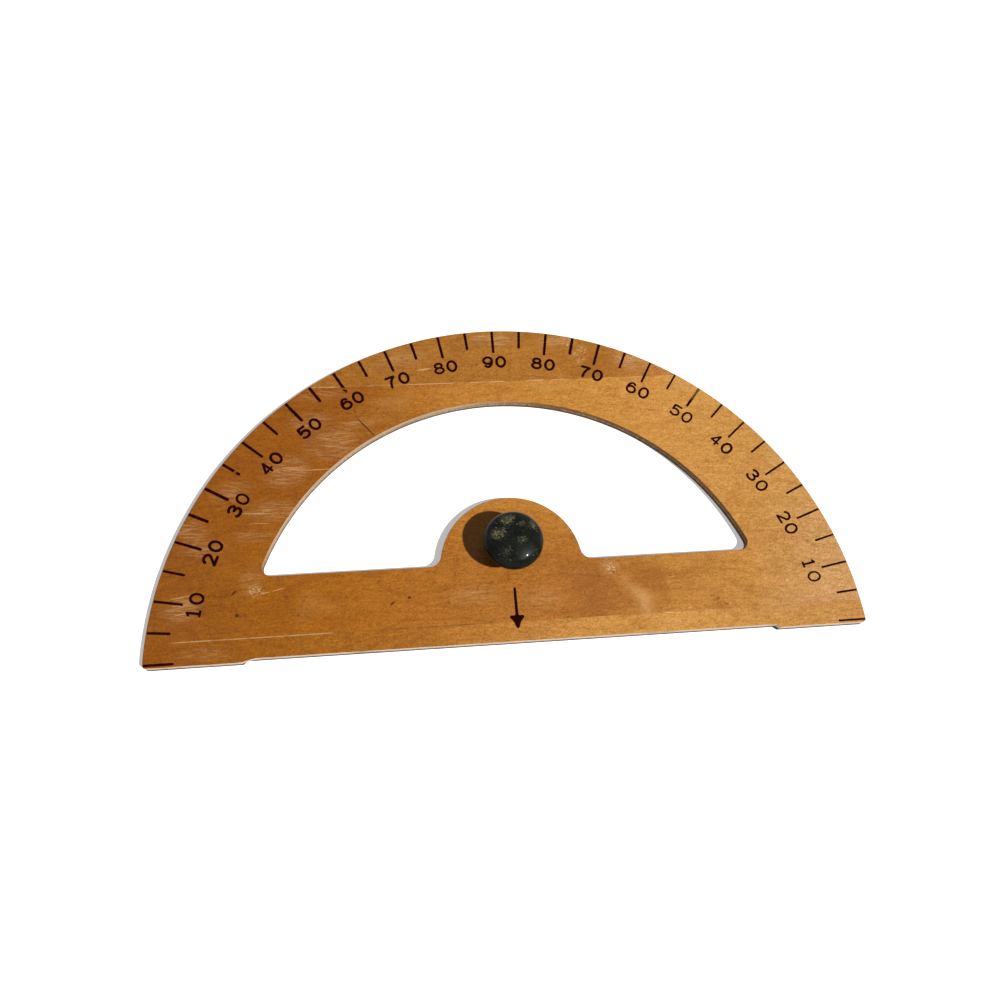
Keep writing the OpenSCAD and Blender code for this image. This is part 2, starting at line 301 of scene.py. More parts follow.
def seam(start, stop):
    """Points along a seam, with one close to each end where the eased rim stops."""
    length = math.dist(start, stop)
    unit = (np.array(stop) - start) / length
    near = min(1.0, length / 4)
    inner = line(tuple(start + unit * near), tuple(stop - unit * near), GRID_STEP)
    return join([start], inner, [stop])


class Loop:
    """A closed outline with the wood on its left. Each stretch between points is a rim or a seam."""

    def __init__(self, *parts):
        self.points = []
        self.is_seam = []
        for part, after in zip(parts, parts[1:] + parts[:1]):
            self.points += part[:-1]
            self.is_seam += [False] * (len(part) - 1)
            if math.dist(part[-1], after[0]) > TINY:
                bridge = seam(part[-1], after[0])
                self.points += bridge[:-1]
                self.is_seam += [True] * (len(bridge) - 1)
        self._find_normals()

    def _find_normals(self):
        count = len(self.points)
        across = []
        for i in range(count):
            step = Vector(self.points[(i + 1) % count]) - Vector(self.points[i])
            across.append(Vector((step.y, -step.x)).normalized())
        self.before = []
        self.after = []
        for i in range(count):
            a, b = across[i - 1], across[i]
            if self.is_seam[i - 1] == self.is_seam[i] and a.angle(b) < math.radians(CREASE_ANGLE):
                a = b = (a + b).normalized()
            self.before.append(a)
            self.after.append(b)

    def inset(self, i, ease_before, ease_after):
        """How far a point moves into the wood when the two sides that meet there move in."""
        a, b = self.before[i], self.after[i]
        cross = a.x * b.y - a.y * b.x
        if abs(cross) < NEARLY_STRAIGHT:
            return -(a + b).normalized() * max(ease_before, ease_after)
        x = (ease_before * b.y - ease_after * a.y) / cross
        y = (ease_after * a.x - ease_before * b.x) / cross
        return -Vector((x, y))


def wear(x, y, level):
    """The rim's wear at a point, as a share of the usual. It wavers, and one place of the face is scraped."""
    waver = 0.3 * noise.noise(Vector((x, y, 0)) * 0.07) + 0.2 * noise.noise(Vector((x, y, 9)) * 0.4)
    away = math.dist((x, y), SCRAPED_PLACE) / SCRAPED_SPREAD
    scraped = math.exp(-away ** 2) if level > CORE_TOP else 0
    return 1 + waver + SCRAPED_WEAR * scraped


def loop_rings(loop, bottom, top, ease_bottom, ease_top, inset):
    """Rings of points up the side of a ply, with a normal before and after each point."""
    rings = []
    count = len(loop.points)
    stations = [(-a, bottom, ease_bottom, 1) for a in reversed(EASE_STEPS)]
    stations += [(a, top, ease_top, -1) for a in EASE_STEPS]
    for angle, level, ease, upwards in stations:
        cos_a, sin_a = math.cos(math.radians(angle)), math.sin(math.radians(angle))
        ring = []
        for i in range(count):
            x, y = loop.points[i]
            rim = ease * wear(x, y, level) if ease > PLY_EASE else ease
            before = SEAM_EASE if loop.is_seam[i - 1] else rim
            after = SEAM_EASE if loop.is_seam[i] else rim
            flat_before = 0 if loop.is_seam[i - 1] else inset
            flat_after = 0 if loop.is_seam[i] else inset
            start = Vector((x, y)) + loop.inset(i, flat_before, flat_after) if inset else Vector((x, y))
            place = start + loop.inset(i, before, after) * (1 - cos_a)
            rise = max(before, after) * (1 - abs(sin_a)) * upwards
            normals = [Vector((n.x * cos_a, n.y * cos_a, sin_a)) for n in (loop.before[i], loop.after[i])]
            ring.append((Vector((place.x, place.y, level + rise)), normals[0], normals[1]))
        rings.append(ring)
    return rings


def hole_rings(centre, profile, count=64):
    """Rings round a hole, going clockwise, along a profile of (radius, height) from bottom to top."""
    rings = []
    slopes = []
    for (r0, z0), (r1, z1) in zip(profile, profile[1:]):
        slopes.append(Vector((-(z1 - z0), r1 - r0)).normalized())
    for k, (radius, height) in enumerate(profile):
        below, above = slopes[max(k - 1, 0)], slopes[min(k, len(slopes) - 1)]
        mean = (below + above).normalized()
        ring = []
        for i in range(count):
            c, s = polar(1, -360 * i / count)
            normal = Vector((c * mean.x, s * mean.x, mean.y))
            place = Vector((centre[0] + radius * c, centre[1] + radius * s, height))
            ring.append((place, normal, normal))
        rings.append(ring)
    return rings


def inside(places, outlines):
    """Which places lie inside the outlines, holes left out."""
    crossings = np.zeros(len(places), int)
    for outline in outlines:
        a = np.array(outline)
        b = np.roll(a, -1, axis=0)
        for (x0, y0), (x1, y1) in zip(a, b):
            spans = (y0 > places[:, 1]) != (y1 > places[:, 1])
            with np.errstate(divide="ignore", invalid="ignore"):
                x = x0 + (places[:, 1] - y0) / (y1 - y0) * (x1 - x0)
            crossings += spans & (places[:, 0] < x)
    return crossings % 2 == 1


def grid_inside(outlines):
    """Points of a triangular grid that lie well inside the outlines."""
    edge = np.concatenate([np.array(o) for o in outlines])
    lowest, highest = edge.min(0), edge.max(0)
    row_step = GRID_STEP * math.sqrt(3) / 2
    rows = []
    for k, y in enumerate(np.arange(lowest[1], highest[1], row_step)):
        x = np.arange(lowest[0] + (k % 2) * GRID_STEP / 2, highest[0], GRID_STEP)
        rows.append(np.c_[x, np.full(len(x), y)])
    places = np.concatenate(rows)
    places = places[inside(places, outlines)]
    nearest = np.array([np.hypot(*(edge - p).T).min() for p in places])
    return places[nearest > GRID_ROOM]


def placed(name, data):
    """A new object, put into the scene."""
    made = bpy.data.objects.new(name, data)
    bpy.context.scene.collection.objects.link(made)
    return made


def smooth_mesh(name, places, faces, materials):
    """A mesh of smooth faces, from places in metres."""
    mesh = bpy.data.meshes.new(name)
    mesh.from_pydata(places, [], faces)
    for material in materials:
        mesh.materials.append(material)
    mesh.polygons.foreach_set("use_smooth", [True] * len(faces))
    return mesh


def stand_for(piece, body, slot, *nodes):
    """Puts a finished piece on its body, in place of the CAD nodes that it stands for."""
    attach(piece, body)
    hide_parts(*nodes)


class Skin:
    """Collects a mesh, with a normal at each corner of each face."""

    def __init__(self):
        self.places = []
        self.faces = []
        self.normals = []
        self.slots = []

    def add_points(self, places):
        start = len(self.places)
        self.places += [Vector(p) for p in places]
        return start

    def add_face(self, corners, normals, slot):
        self.faces.append(corners)
        self.normals += normals
        self.slots.append(slot)

    def add_side(self, rings, cap_slot, side_slot):
        """The side between rings. Returns where the first and the last ring start."""
        starts = [self.add_points([place for place, _, _ in ring]) for ring in rings]
        count = len(rings[0])
        for k in range(len(rings) - 1):
            flat = min(abs(r[0][1].z) for r in (rings[k], rings[k + 1])) > 0.8
            for i in range(count):
                j = (i + 1) % count
                corners = [starts[k] + i, starts[k] + j, starts[k + 1] + j, starts[k + 1] + i]
                normals = [rings[k][i][2], rings[k][j][1], rings[k + 1][j][1], rings[k + 1][i][2]]
                self.add_face(corners, normals, cap_slot if flat else side_slot)
        return starts[0], starts[-1]

    def add_cap(self, loops, level, up, slot):
        """A flat face inside the loops. Each loop is (start in the points, number of points)."""
        outlines = [[tuple(self.places[s + i].xy) for i in range(n)] for s, n in loops]
        known = [s + i for s, n in loops for i in range(n)]
        places = [Vector(p) for outline in outlines for p in outline]
        edges = []
        first = 0
        for _, n in loops:
            edges += [(first + i, first + (i + 1) % n) for i in range(n)]
            first += n
        for x, y in grid_inside(outlines):
            known.append(self.add_points([(x, y, level)]))
            places.append(Vector((x, y)))
        made, _, triangles, origins, _, _ = geometry.delaunay_2d_cdt(places, edges, [], 0, 1e-6)
        middles = np.array([[sum(made[c][axis] for c in t) / 3 for axis in (0, 1)] for t in triangles])
        keep = inside(middles, outlines)
        normal = Vector((0, 0, 1 if up else -1))
        for triangle, wanted in zip(triangles, keep):
            if not wanted:
                continue
            corners = [known[origins[c][0]] for c in triangle]
            a, b, c = [self.places[v].xy for v in corners]
            turns_left = (b - a).cross(c - a) > 0
            if turns_left != up:
                corners.reverse()
            self.add_face(corners, [normal] * 3, slot)

    def make(self, name, materials):
        mesh = smooth_mesh(name, [p * MM for p in self.places], self.faces, materials)
        mesh.polygons.foreach_set("material_index", self.slots)
        mesh.normals_split_custom_set(self.normals)
        mesh.update()
        return placed(name, mesh)


def ply_piece(name, loop_groups, bottom, top, ease_bottom, ease_top, materials, inset=0.0):
    """One ply leaf. Each group is one solid: its outline, then its holes, as a Loop or as ready rings."""
    skin = Skin()
    for group in loop_groups:
        lower, upper = [], []
        for outline in group:
            ready = isinstance(outline, list)
            rings = outline if ready else loop_rings(outline, bottom, top, ease_bottom, ease_top, inset)
            first, last = skin.add_side(rings, 0, 1)
            lower.append((first, len(rings[0])))
            upper.append((last, len(rings[0])))
        skin.add_cap(lower, bottom, False, 0)
        skin.add_cap(upper, top, True, 0)
    return skin.make(name, materials)


def srgb(red, green, blue):
    """A colour given as 8-bit sRGB values, as Blender's linear RGBA."""
    linear = []
    for value in (red, green, blue):
        share = value / 255
        linear.append(share / 12.92 if share <= 0.04045 else ((share + 0.055) / 1.055) ** 2.4)
    return (*linear, 1.0)


class Value:
    """A number or colour inside a shader. It takes +, -, *, ** and abs() as a plain number does."""

    def __init__(self, nodes, socket):
        self.nodes = nodes
        self.socket = socket

    def __add__(self, other):
        return self.nodes.math("ADD", self, other)

    def __sub__(self, other):
        return self.nodes.math("SUBTRACT", self, other)

    def __mul__(self, other):
        return self.nodes.math("MULTIPLY", self, other)

    def __pow__(self, other):
        return self.nodes.math("POWER", self, other)

    def __abs__(self):
        return self.nodes.math("ABSOLUTE", self)

    def scaled(self, factor, plus):
        """The value times a factor, plus another value, in one node."""
        return self.nodes.math("MULTIPLY_ADD", self, factor, plus)


class Nodes:
    """Fills an emptied node tree. An input is a number, a tuple or a Value."""

    def __init__(self, tree):
        self.tree = tree
        tree.nodes.clear()

    def add(self, kind, inputs=None, **settings):
        made = self.tree.nodes.new(kind)
        for key, value in settings.items():
            setattr(made, key, value)
        for key, value in (inputs or {}).items():
            if isinstance(value, Value):
                self.tree.links.new(value.socket, made.inputs[key])
            else:
                made.inputs[key].default_value = value
        return made

    def value(self, kind, inputs=None, output=0, **settings):
        """One output of a new node."""
        return Value(self, self.add(kind, inputs, **settings).outputs[output])

    def math(self, operation, *values):
        return self.value("ShaderNodeMath", dict(enumerate(values)), operation=operation)

    def place(self):
        return self.value("ShaderNodeTexCoord", output="Object")

    def xyz(self, place):
        return [Value(self, socket) for socket in self.add("ShaderNodeSeparateXYZ", {0: place}).outputs]

    def noise(self, place, scale, shift=(0, 0, 0), turn=0.0, detail=2.0, rough=0.5, bend=0.0):
        """Noise from 0 to 1 at the place turned about Z, with features of 1 / scale metres on each axis."""
        turning = {"Vector": place, "Rotation": (0, 0, math.radians(turn)), "Location": shift}
        turned = self.value("ShaderNodeMapping", turning)
        stretched = self.value("ShaderNodeMapping", {"Vector": turned, "Scale": scale})
        inputs = {"Vector": stretched, "Scale": 1.0, "Detail": detail, "Roughness": rough, "Distortion": bend}
        return self.value("ShaderNodeTexNoise", inputs)

    def step(self, value, start, stop, least=0.0, most=1.0):
        """Goes smoothly from least to most as value goes from start to stop."""
        inputs = {"Value": value, "From Min": start, "From Max": stop, "To Min": least, "To Max": most}
        return self.value("ShaderNodeMapRange", inputs, interpolation_type="SMOOTHSTEP", clamp=False)

    def mix(self, share, a, b, blend="MIX"):
        return self.value("ShaderNodeMix", {0: share, 6: a, 7: b}, 2, data_type="RGBA", blend_type=blend)

    def ramp(self, value, stops):
        """Colour along a value, from a list of (position, colour)."""
        made = self.add("ShaderNodeValToRGB", {0: value})
        ramp = made.color_ramp
        while len(ramp.elements) < len(stops):
            ramp.elements.new(0.5)
        for element, (position, colour) in zip(ramp.elements, stops):
            element.position = position
            element.color = colour
        return Value(self, made.outputs[0])

    def spot(self, place, centre, half_sizes, turn=0.0, soft=0.6):
        """1 inside an ellipse on the plate, in millimetres, fading to 0 at its rim."""
        ellipse_frame = {
            "Vector": place,
            "Location": (centre[0] * MM, centre[1] * MM, 0),
            "Rotation": (0, 0, math.radians(turn)),
            "Scale": (half_sizes[0] * MM, half_sizes[1] * MM, 1),
        }
        local = self.value("ShaderNodeMapping", ellipse_frame, vector_type="TEXTURE")
        distance = self.value("ShaderNodeVectorMath", {0: local}, "Value", operation="LENGTH")
        return self.step(distance, 1.0, 1.0 - soft)

    def stroke(self, place, start, stop, width, soft=0.7):
        """A tapering stroke from one point of the plate to another, in millimetres."""
        middle = ((start[0] + stop[0]) / 2, (start[1] + stop[1]) / 2)
        turn = math.degrees(math.atan2(stop[1] - start[1], stop[0] - start[0]))
        return self.spot(place, middle, (math.dist(start, stop) / 2, width / 2), turn, soft)

    def largest(self, values):
        """The largest of the values. Each joins as it is made, which keeps the shader's memory small."""
        result = None
        for value in values:
            result = value if result is None else self.math("MAXIMUM", result, value)
        return result


def new_material(name):
    material = bpy.data.materials.new(name)
    material.use_nodes = True
    return material, Nodes(material.node_tree)


def finish_material(nodes, colour, roughness, height, bump, **fixed):
    """Ends a material in one principled shader. Fixed values go on the shader's own sockets."""
    names = {"specular": "Specular IOR Level", "coat": "Coat Weight", "coat_rough": "Coat Roughness"}
    names["metal"] = "Metallic"
    bumped = nodes.value("ShaderNodeBump", {"Height": height, "Strength": 1.0, "Distance": bump})
    inputs = {"Base Color": colour, "Roughness": roughness, "Normal": bumped}
    inputs.update((names[key], value) for key, value in fixed.items())
    shader = nodes.value("ShaderNodeBsdfPrincipled", inputs)
    nodes.add("ShaderNodeOutputMaterial", {"Surface": shader})


# What the sheen of the varnish adds to each channel of a seen colour
GLOSS = (3, 4, 13)

# Colours of the veneer as seen, each at its distance in millimetres to the right of the vertex
BAND_TONES = [
    (-175, (146, 84, 18)), (-95, (151, 88, 23)), (-62, (165, 103, 38)), (-30, (187, 125, 58)),
    (25, (195, 134, 64)), (80, (207, 148, 80)), (175, (207, 153, 90)),
]
BAR_TONES = [
    (-175, (143, 84, 24)), (-130, (155, 93, 21)), (-85, (166, 102, 34)), (-10, (175, 112, 50)),
    (45, (174, 111, 51)), (75, (190, 130, 65)), (130, (199, 140, 76)), (175, (206, 156, 104)),
]
LOWER_TONES = [
    (-175, (146, 84, 18)), (-100, (163, 102, 34)), (-50, (169, 108, 44)), (-25, (184, 123, 58)),
    (30, (201, 143, 79)), (90, (209, 151, 84)), (175, (198, 142, 83)),
]
UPPER_TONES = [
    (-110, (164, 105, 45)), (-50, (168, 110, 48)), (0, (173, 115, 54)), (60, (172, 112, 49)),
    (110, (190, 131, 68)),
]


def tone(nodes, x, stops):
    """The veneer's colour along the plate, darker at the left end and lighter at the right, from 0 on the
    ramp at its left end to 1 at its right.
    """
    across = 2 * ARC_RADIUS
    ramp = []
    for x_mm, seen in stops:
        bare = [max(channel - gloss, 0) for channel, gloss in zip(seen, GLOSS)]
        ramp.append(((x_mm + ARC_RADIUS) / across, srgb(*bare)))
    return nodes.ramp(x.scaled(1 / (across * MM), 0.5), ramp)


def veneer_figure(nodes, place, base, shift):
    """Colour and height of rotary-cut veneer under old varnish: mottling, curled flecks, short fibres, and
    painted glints for the varnish's small highlights.
    """
    east, north, _ = shift
    broad = nodes.noise(place, (18, 34, 30), shift, detail=3, rough=0.55, bend=0.6)
    cloud = nodes.noise(place, (70, 130, 120), shift, 6, detail=3, rough=0.6, bend=0.8)
    patch = nodes.noise(place, (300, 420, 400), shift, 4, rough=0.6, bend=1.0)
    fleck = nodes.noise(place, (1000, 1250, 1200), shift, detail=1, rough=0.6)
    curl = nodes.noise(place, (330, 900, 850), shift, -5, rough=0.55, bend=1.3)
    fibre = nodes.noise(place, (60, 1500, 1400), shift, 1.5, rough=0.6)
    warm = nodes.noise(place, (26, 48, 40), (east + 3, north, 1))
    bright = broad.scaled(0.26, 0.87)
    for figure, strength in ((cloud, 0.32), (patch, 0.62), (fleck, 1.05), (curl, 1.0), (fibre, 0.35)):
        bright += figure.scaled(strength, -strength / 2)
    bright = nodes.largest([bright, 0.2])
    depth = nodes.value("ShaderNodeCombineColor", {0: bright ** 0.78, 1: bright, 2: bright ** 1.8})
    lit = nodes.mix(1.0, base, depth, "MULTIPLY")
    rings = nodes.noise(place, (8, 30, 26), (east, north + 4, 3), 3, rough=0.45, bend=0.5)
    rings = nodes.step(nodes.math("SINE", rings * 95), 0.2, 1.0, 0, 0.3)
    lit = nodes.mix(rings, lit, (0.72, 0.62, 0.45, 1), "MULTIPLY")
    # Painted glints: sparse pale pink flecks that stand for small highlights in the varnished figure
    painted_glint = nodes.noise(place, (430, 780, 700), (east + 6, north + 2, 0), -8, rough=0.6, bend=2.2)
    lit = nodes.mix(nodes.step(painted_glint, 0.54, 0.72, 0, 0.5), lit, (1.24, 1.32, 1.55, 1), "MULTIPLY")
    hue = nodes.noise(place, (230, 330, 300), (east + 5, north, 2), rough=0.6, bend=0.8)
    tint = nodes.mix(nodes.step(hue, 0.38, 0.62), (0.985, 1.0, 0.93, 1), (1.02, 0.99, 1.08, 1))
    lit = nodes.mix(1.0, lit, tint, "MULTIPLY")
    redder = nodes.mix(nodes.step(warm, 0.52, 0.78, 0, 0.35), lit, (1.0, 0.86, 0.95, 1), "MULTIPLY")
    return redder, curl.scaled(0.5, fleck * 0.5)


def scratch_lines(nodes, place, directions):
    """Thin pale lines, a little wavy, in directions of (turn, lines in a metre, shift, cut)."""
    return nodes.largest(
        nodes.step(nodes.noise(place, (80, across, 300), shift, turn, bend=0.55), cut, cut + 0.09)
        for turn, across, shift, cut in directions
    )


# Directions of the scratches on the face, close to the grain, and of the scuffs on the back
FACE_SCRATCHES = [(3, 1150, (0, 0, 0), 0.53), (-9, 950, (2, 5, 0), 0.56), (14, 1000, (7, 1, 0), 0.57)]
BACK_SCUFFS = [(12, 900, (1, 0, 3), 0.68), (-24, 800, (5, 2, 3), 0.69), (78, 900, (8, 4, 3), 0.70)]


def varnished_face(name, tones, shift, bar_tones=None):
    """The printed face of one veneer leaf, with the marks that its years have left, and painted highlights
    along its seams.
    """
    material, nodes = new_material(name)
    place = nodes.place()
    x, y, _ = nodes.xyz(place)
    base = tone(nodes, x, tones)
    if bar_tones:
        in_band = nodes.step(y, 40 * MM, 96 * MM)
        base = nodes.mix(in_band, tone(nodes, x, bar_tones), base)
    colour, height = veneer_figure(nodes, place, base, shift)
    stain = nodes.value("ShaderNodeAttribute", output="Color", attribute_name="stain")
    stained = nodes.value("ShaderNodeAttribute", output="Fac", attribute_name="stained")
    mottled = nodes.noise(place, (190, 260, 200), (9, 9, 0), detail=3, rough=0.65, bend=1.5)
    colour = nodes.mix(stained * nodes.step(mottled, 0.36, 0.62, 0.55, 1.15), colour, stain)
    field = nodes.value("ShaderNodeAttribute", output="Fac", attribute_name="scratched")
    scratches = field * scratch_lines(nodes, place, FACE_SCRATCHES)
    colour = nodes.mix(field * 0.10, colour, srgb(190, 150, 104))
    colour = nodes.mix(scratches * 0.44, colour, srgb(222, 180, 130))
    colour = single_marks(nodes, place, colour)
    rough = nodes.noise(place, (60, 90, 60), shift, detail=3)
    roughness = scratches.scaled(0.25, rough.scaled(0.22, 0.30))
    height = scratches.scaled(-1.2, height)
    finish_material(nodes, colour, roughness, height, 0.00003, specular=0.2, coat=0.04, coat_rough=0.2)
    return material


DARK_FIGURE = srgb(142, 84, 32)
AMBER_FIGURE = srgb(150, 86, 24)
ORANGE_FIGURE = srgb(164, 88, 12)
RED_FIGURE = srgb(170, 96, 44)
PALE_FIGURE = srgb(222, 170, 108)

# Broad figures in the veneer: centre, half sizes, turn, colour and strength, in millimetres and degrees
STAINS = [
    ((42, 30), (24, 20), -35, DARK_FIGURE, 0.42),
    ((54, 40), (9, 6), -50, AMBER_FIGURE, 0.55),
    ((46, 20), (16, 8), -50, DARK_FIGURE, 0.30),
    ((94, 26), (12, 8), 15, AMBER_FIGURE, 0.25),
    ((86, 31), (15, 6), 0, AMBER_FIGURE, 0.22),
    ((75, 27), (15, 18), 10, AMBER_FIGURE, 0.62),
    ((54, 38), (8, 7), 25, PALE_FIGURE, 0.22),
    ((60, 28), (8, 5), -46, PALE_FIGURE, 0.22),
    ((58, 20), (13, 4.5), -52, DARK_FIGURE, 0.38),
    ((68, 18), (14, 6.5), -46, PALE_FIGURE, 0.52),
    ((112, 15), (12, 5), -20, AMBER_FIGURE, 0.55),
    ((105, 34), (22, 7), 0, AMBER_FIGURE, 0.16),
    ((66, 164), (22, 9), -12, AMBER_FIGURE, 0.40),
    ((56, 171), (6, 6), 0, ORANGE_FIGURE, 0.75),
    ((92, 162), (22, 7), -10, RED_FIGURE, 0.30),
    ((-150, 60), (26, 14), 70, AMBER_FIGURE, 0.25),
    ((-172, 20), (14, 20), 0, AMBER_FIGURE, 0.30),
    ((30, 150), (18, 4), 3, PALE_FIGURE, 0.25),
    ((-62, 145), (16, 7), 25, PALE_FIGURE, 0.16),
    ((-70, 133), (10, 5), 10, PALE_FIGURE, 0.14),
    ((151, 20), (22, 10), 0, PALE_FIGURE, 0.14),
    ((-105, 26), (14, 10), 0, PALE_FIGURE, 0.10),
    ((-145, 16), (16, 6), 0, AMBER_FIGURE, 0.25),
]

# Where the varnish is scratched: centre, half sizes, turn and strength
SCRATCHED = [
    ((-121, 103), (17, 12), 8, 1.0), ((-96, 119), (20, 13), 14, 0.9), ((-84, 131), (14, 6), 12, 0.6),
    ((-108, 133), (18, 7), 8, 0.6), ((-127, 80), (20, 7), 0, 0.75), ((-138, 66), (16, 5), 0, 0.55),
    ((-150, 92), (16, 9), 8, 0.5), ((-171, 70), (12, 9), 6, 0.7), ((-103, 150), (22, 5), 5, 0.5),
    ((-173, 28), (13, 9), 0, 0.85), ((-164, 60), (16, 7), 0, 0.6), ((-138, 41), (11, 8), 80, 0.6),
    ((-160, 4), (22, 6), 0, 0.35), ((0, 184), (22, 5), 0, 0.85), ((34, 182), (14, 5), 0, 0.8),
    ((-57, 172), (24, 9), 10, 0.5), ((84, 165), (18, 8), -8, 0.75), ((112, 150), (14, 6), -20, 0.4),
    ((-22, 26), (18, 8), 0, 0.45), ((14, 22), (16, 9), 0, 0.4), ((158, 100), (8, 7), -30, 0.6),
    ((150, 12), (30, 10), 0, 0.35),
]

# How far in from its rim a figure reaches full strength, and how its outline is bent
FIGURE_SOFTNESS = 0.85
FIGURE_BEND = 6
FIGURE_WAVE = 14
# The seed of the noise vectors that bend the outlines. Without one they are others on each run
FIGURE_SEED = 1795674550


def share_inside(place, centre, half_sizes, turn):
    """1 well inside an ellipse, falling to 0 at its rim."""
    local = Matrix.Rotation(math.radians(-turn), 2) @ (place - Vector(centre))
    depth = 1 - math.hypot(local.x / half_sizes[0], local.y / half_sizes[1])
    return eased(depth / FIGURE_SOFTNESS)


def mark_face(piece):
    """Writes the stains and the scratched places on the points of a leaf, where its material reads them."""
    mesh = piece.data
    stain, stained, scratched = [], [], []
    for vertex in mesh.vertices:
        place = vertex.co.xy / MM
        bend = noise.noise_vector(vertex.co / (FIGURE_WAVE * MM)).xy * FIGURE_BEND
        colour, bare = Vector(AMBER_FIGURE) * TINY, TINY
        clear = 1.0
        for centre, half_sizes, turn, tint, strength in reversed(STAINS):
            share = share_inside(place + bend, centre, half_sizes, turn) * strength
            colour += Vector(tint) * share * clear
            bare += share * clear
            clear *= 1 - share
        stain += (colour / bare)[:3]
        stained.append(1 - clear)
        scratched.append(max(share_inside(place, c, h, t) * strength for c, h, t, strength in SCRATCHED))
    mesh.attributes.new("stain", "FLOAT_VECTOR", "POINT").data.foreach_set("vector", stain)
    mesh.attributes.new("stained", "FLOAT", "POINT").data.foreach_set("value", stained)
    mesh.attributes.new("scratched", "FLOAT", "POINT").data.foreach_set("value", scratched)


# Dark specks: centre, half sizes, turn and strength, in millimetres and degrees
SPECKS = [
    ((-56.1, 27.1), (1.2, 0.95), 0, 1.0), ((-65.1, 24.4), (1.8, 0.75), 35, 1.0),
    ((-146.8, 35.1), (1.8, 0.85), 50, 1.0), ((-145.8, 35.9), (0.8, 0.6), 0, 0.6),
    ((-144.8, 23.0), (1.4, 1.2), 0, 1.0), ((-143.4, 22.4), (1.2, 0.6), -20, 0.6),
    ((-120.1, 31.6), (1.6, 0.7), -15, 0.5), ((-113.6, 21.0), (0.9, 0.9), 0, 0.5),
    ((-35.7, 23.2), (1.3, 0.7), -40, 0.5), ((55.3, 34.9), (1.4, 0.9), 10, 0.5),
    ((85.9, 30.8), (1.4, 0.6), 10, 0.45), ((110.3, 16.4), (1.7, 1.1), 0, 0.4),
    ((114.2, 13.4), (2.0, 0.9), -20, 0.4), ((118.9, 12.0), (1.4, 0.9), 0, 0.3),
    ((-10.6, 167.3), (1.2, 0.9), 0, 0.5),
]

# The crack and the single scratches: start, stop and width, and for the crack its softness
CRACK = [((-84.2, 137.6), (-69.4, 119.6), 1.15, 0.5), ((-83.6, 142.0), (-82.6, 137.0), 0.8, 0.6)]
SINGLE_SCRATCHES = [
    ((-139.5, 37.4), (-137.0, 32.5), 0.8), ((-134.5, 33.6), (-127.5, 34.6), 0.6),
    ((-128.5, 34.6), (-119.5, 36.4), 0.5), ((-152.0, 79.5), (-122.0, 78.2), 0.45),
    ((-141.1, 73.3), (-127.0, 72.7), 0.4), ((-116.0, 103.0), (-92.0, 103.6), 0.6),
    ((-47.5, 164.4), (-36.2, 166.0), 1.3), ((-14.0, 187.0), (3.0, 187.0), 0.6),
    ((-4.0, 181.5), (10.0, 180.5), 0.5), ((-181.0, 33.0), (-166.0, 35.5), 0.5),
    ((-179.0, 24.0), (-165.0, 26.8), 0.4), ((79.0, 10.3), (86.0, 10.4), 1.2),
]

# Where the varnish is crinkled: centre, half sizes and turn
CRINKLED = [
    ((45.0, 181.0), (7.5, 6.5), -20), ((52.5, 172.0), (7.0, 9.0), -25), ((79.5, 169.0), (9.0, 6.0), -20),
    ((-135.5, 35.2), (6.0, 4.5), -30), ((53.0, 38.0), (7.0, 6.0), -40),
]

# The lines along the seams, as (seam, width, stretches), and how far each stretch fades in and out. The pale
# lines are a painted highlight along the seams
PAINTED_SEAM_HIGHLIGHTS = [
    (LOWER_SEAM, 0.38, ((-175, -96),)),
    (UPPER_SEAM, 0.50, ((-112, -60), (-4, 42))),
    (UPPER_SEAM, 0.34, ((-52, -6), (62, 112))),
]
DARK_SEAMS = [(LOWER_SEAM, 0.50, ((-122, -90), (-74, -12)))]
SEAM_FADE = 4


def seam_lines(nodes, x, y, broken, rows):
    """Broken lines along the seams: pale ones as a painted highlight along the seam, dark ones darkening the
    joint.
    """
    lines = []
    for level, width, stretches in rows:
        on_line = nodes.step(abs(y - level * MM), width * MM, width * 0.35 * MM)
        for start, stop in stretches:
            begins = nodes.step(x, (start - SEAM_FADE) * MM, (start + SEAM_FADE) * MM)
            ends = nodes.step(x, (stop + SEAM_FADE) * MM, (stop - SEAM_FADE) * MM)
            lines.append(on_line * (begins * ends) * nodes.step(broken, 0.36, 0.52))
    return nodes.largest(lines)


def single_marks(nodes, place, colour):
    """Specks, a crack, single scratches and the lines along the seams, the pale ones a painted highlight."""
    specks = nodes.largest(
        nodes.spot(place, centre, half_sizes, turn, 0.45) * strength
        for centre, half_sizes, turn, strength in SPECKS
    )
    colour = nodes.mix(specks, colour, srgb(82, 34, 6))
    crack = nodes.largest(nodes.stroke(place, *row) for row in CRACK)
    colour = nodes.mix(crack * 0.92, colour, srgb(74, 33, 2))
    x, y, _ = nodes.xyz(place)
    broken = nodes.noise(place, (90, 90, 90), (1, 8, 0))
    painted_seam_highlights = seam_lines(nodes, x, y, broken, PAINTED_SEAM_HIGHLIGHTS)
    dark_seams = seam_lines(nodes, x, y, broken, DARK_SEAMS)
    colour = nodes.mix(dark_seams * 0.55, colour, srgb(112, 66, 24))
    strokes = nodes.largest(nodes.stroke(place, *row) for row in SINGLE_SCRATCHES)
    crinkle = nodes.noise(place, (420, 420, 300), (3, 3, 0), detail=3, rough=0.6, bend=2.5)
    crinkled = nodes.largest(nodes.spot(place, *row, 0.75) for row in CRINKLED)
    crinkled = nodes.step(crinkle, 0.50, 0.60) * crinkled
    # Painted highlight: the pale seam lines go into one pale mix with the crinkled varnish and the single
    # scratches, which are wear
    pale = nodes.largest((painted_seam_highlights, crinkled, strokes))
    return nodes.mix(pale * 0.62, colour, srgb(236, 196, 140))


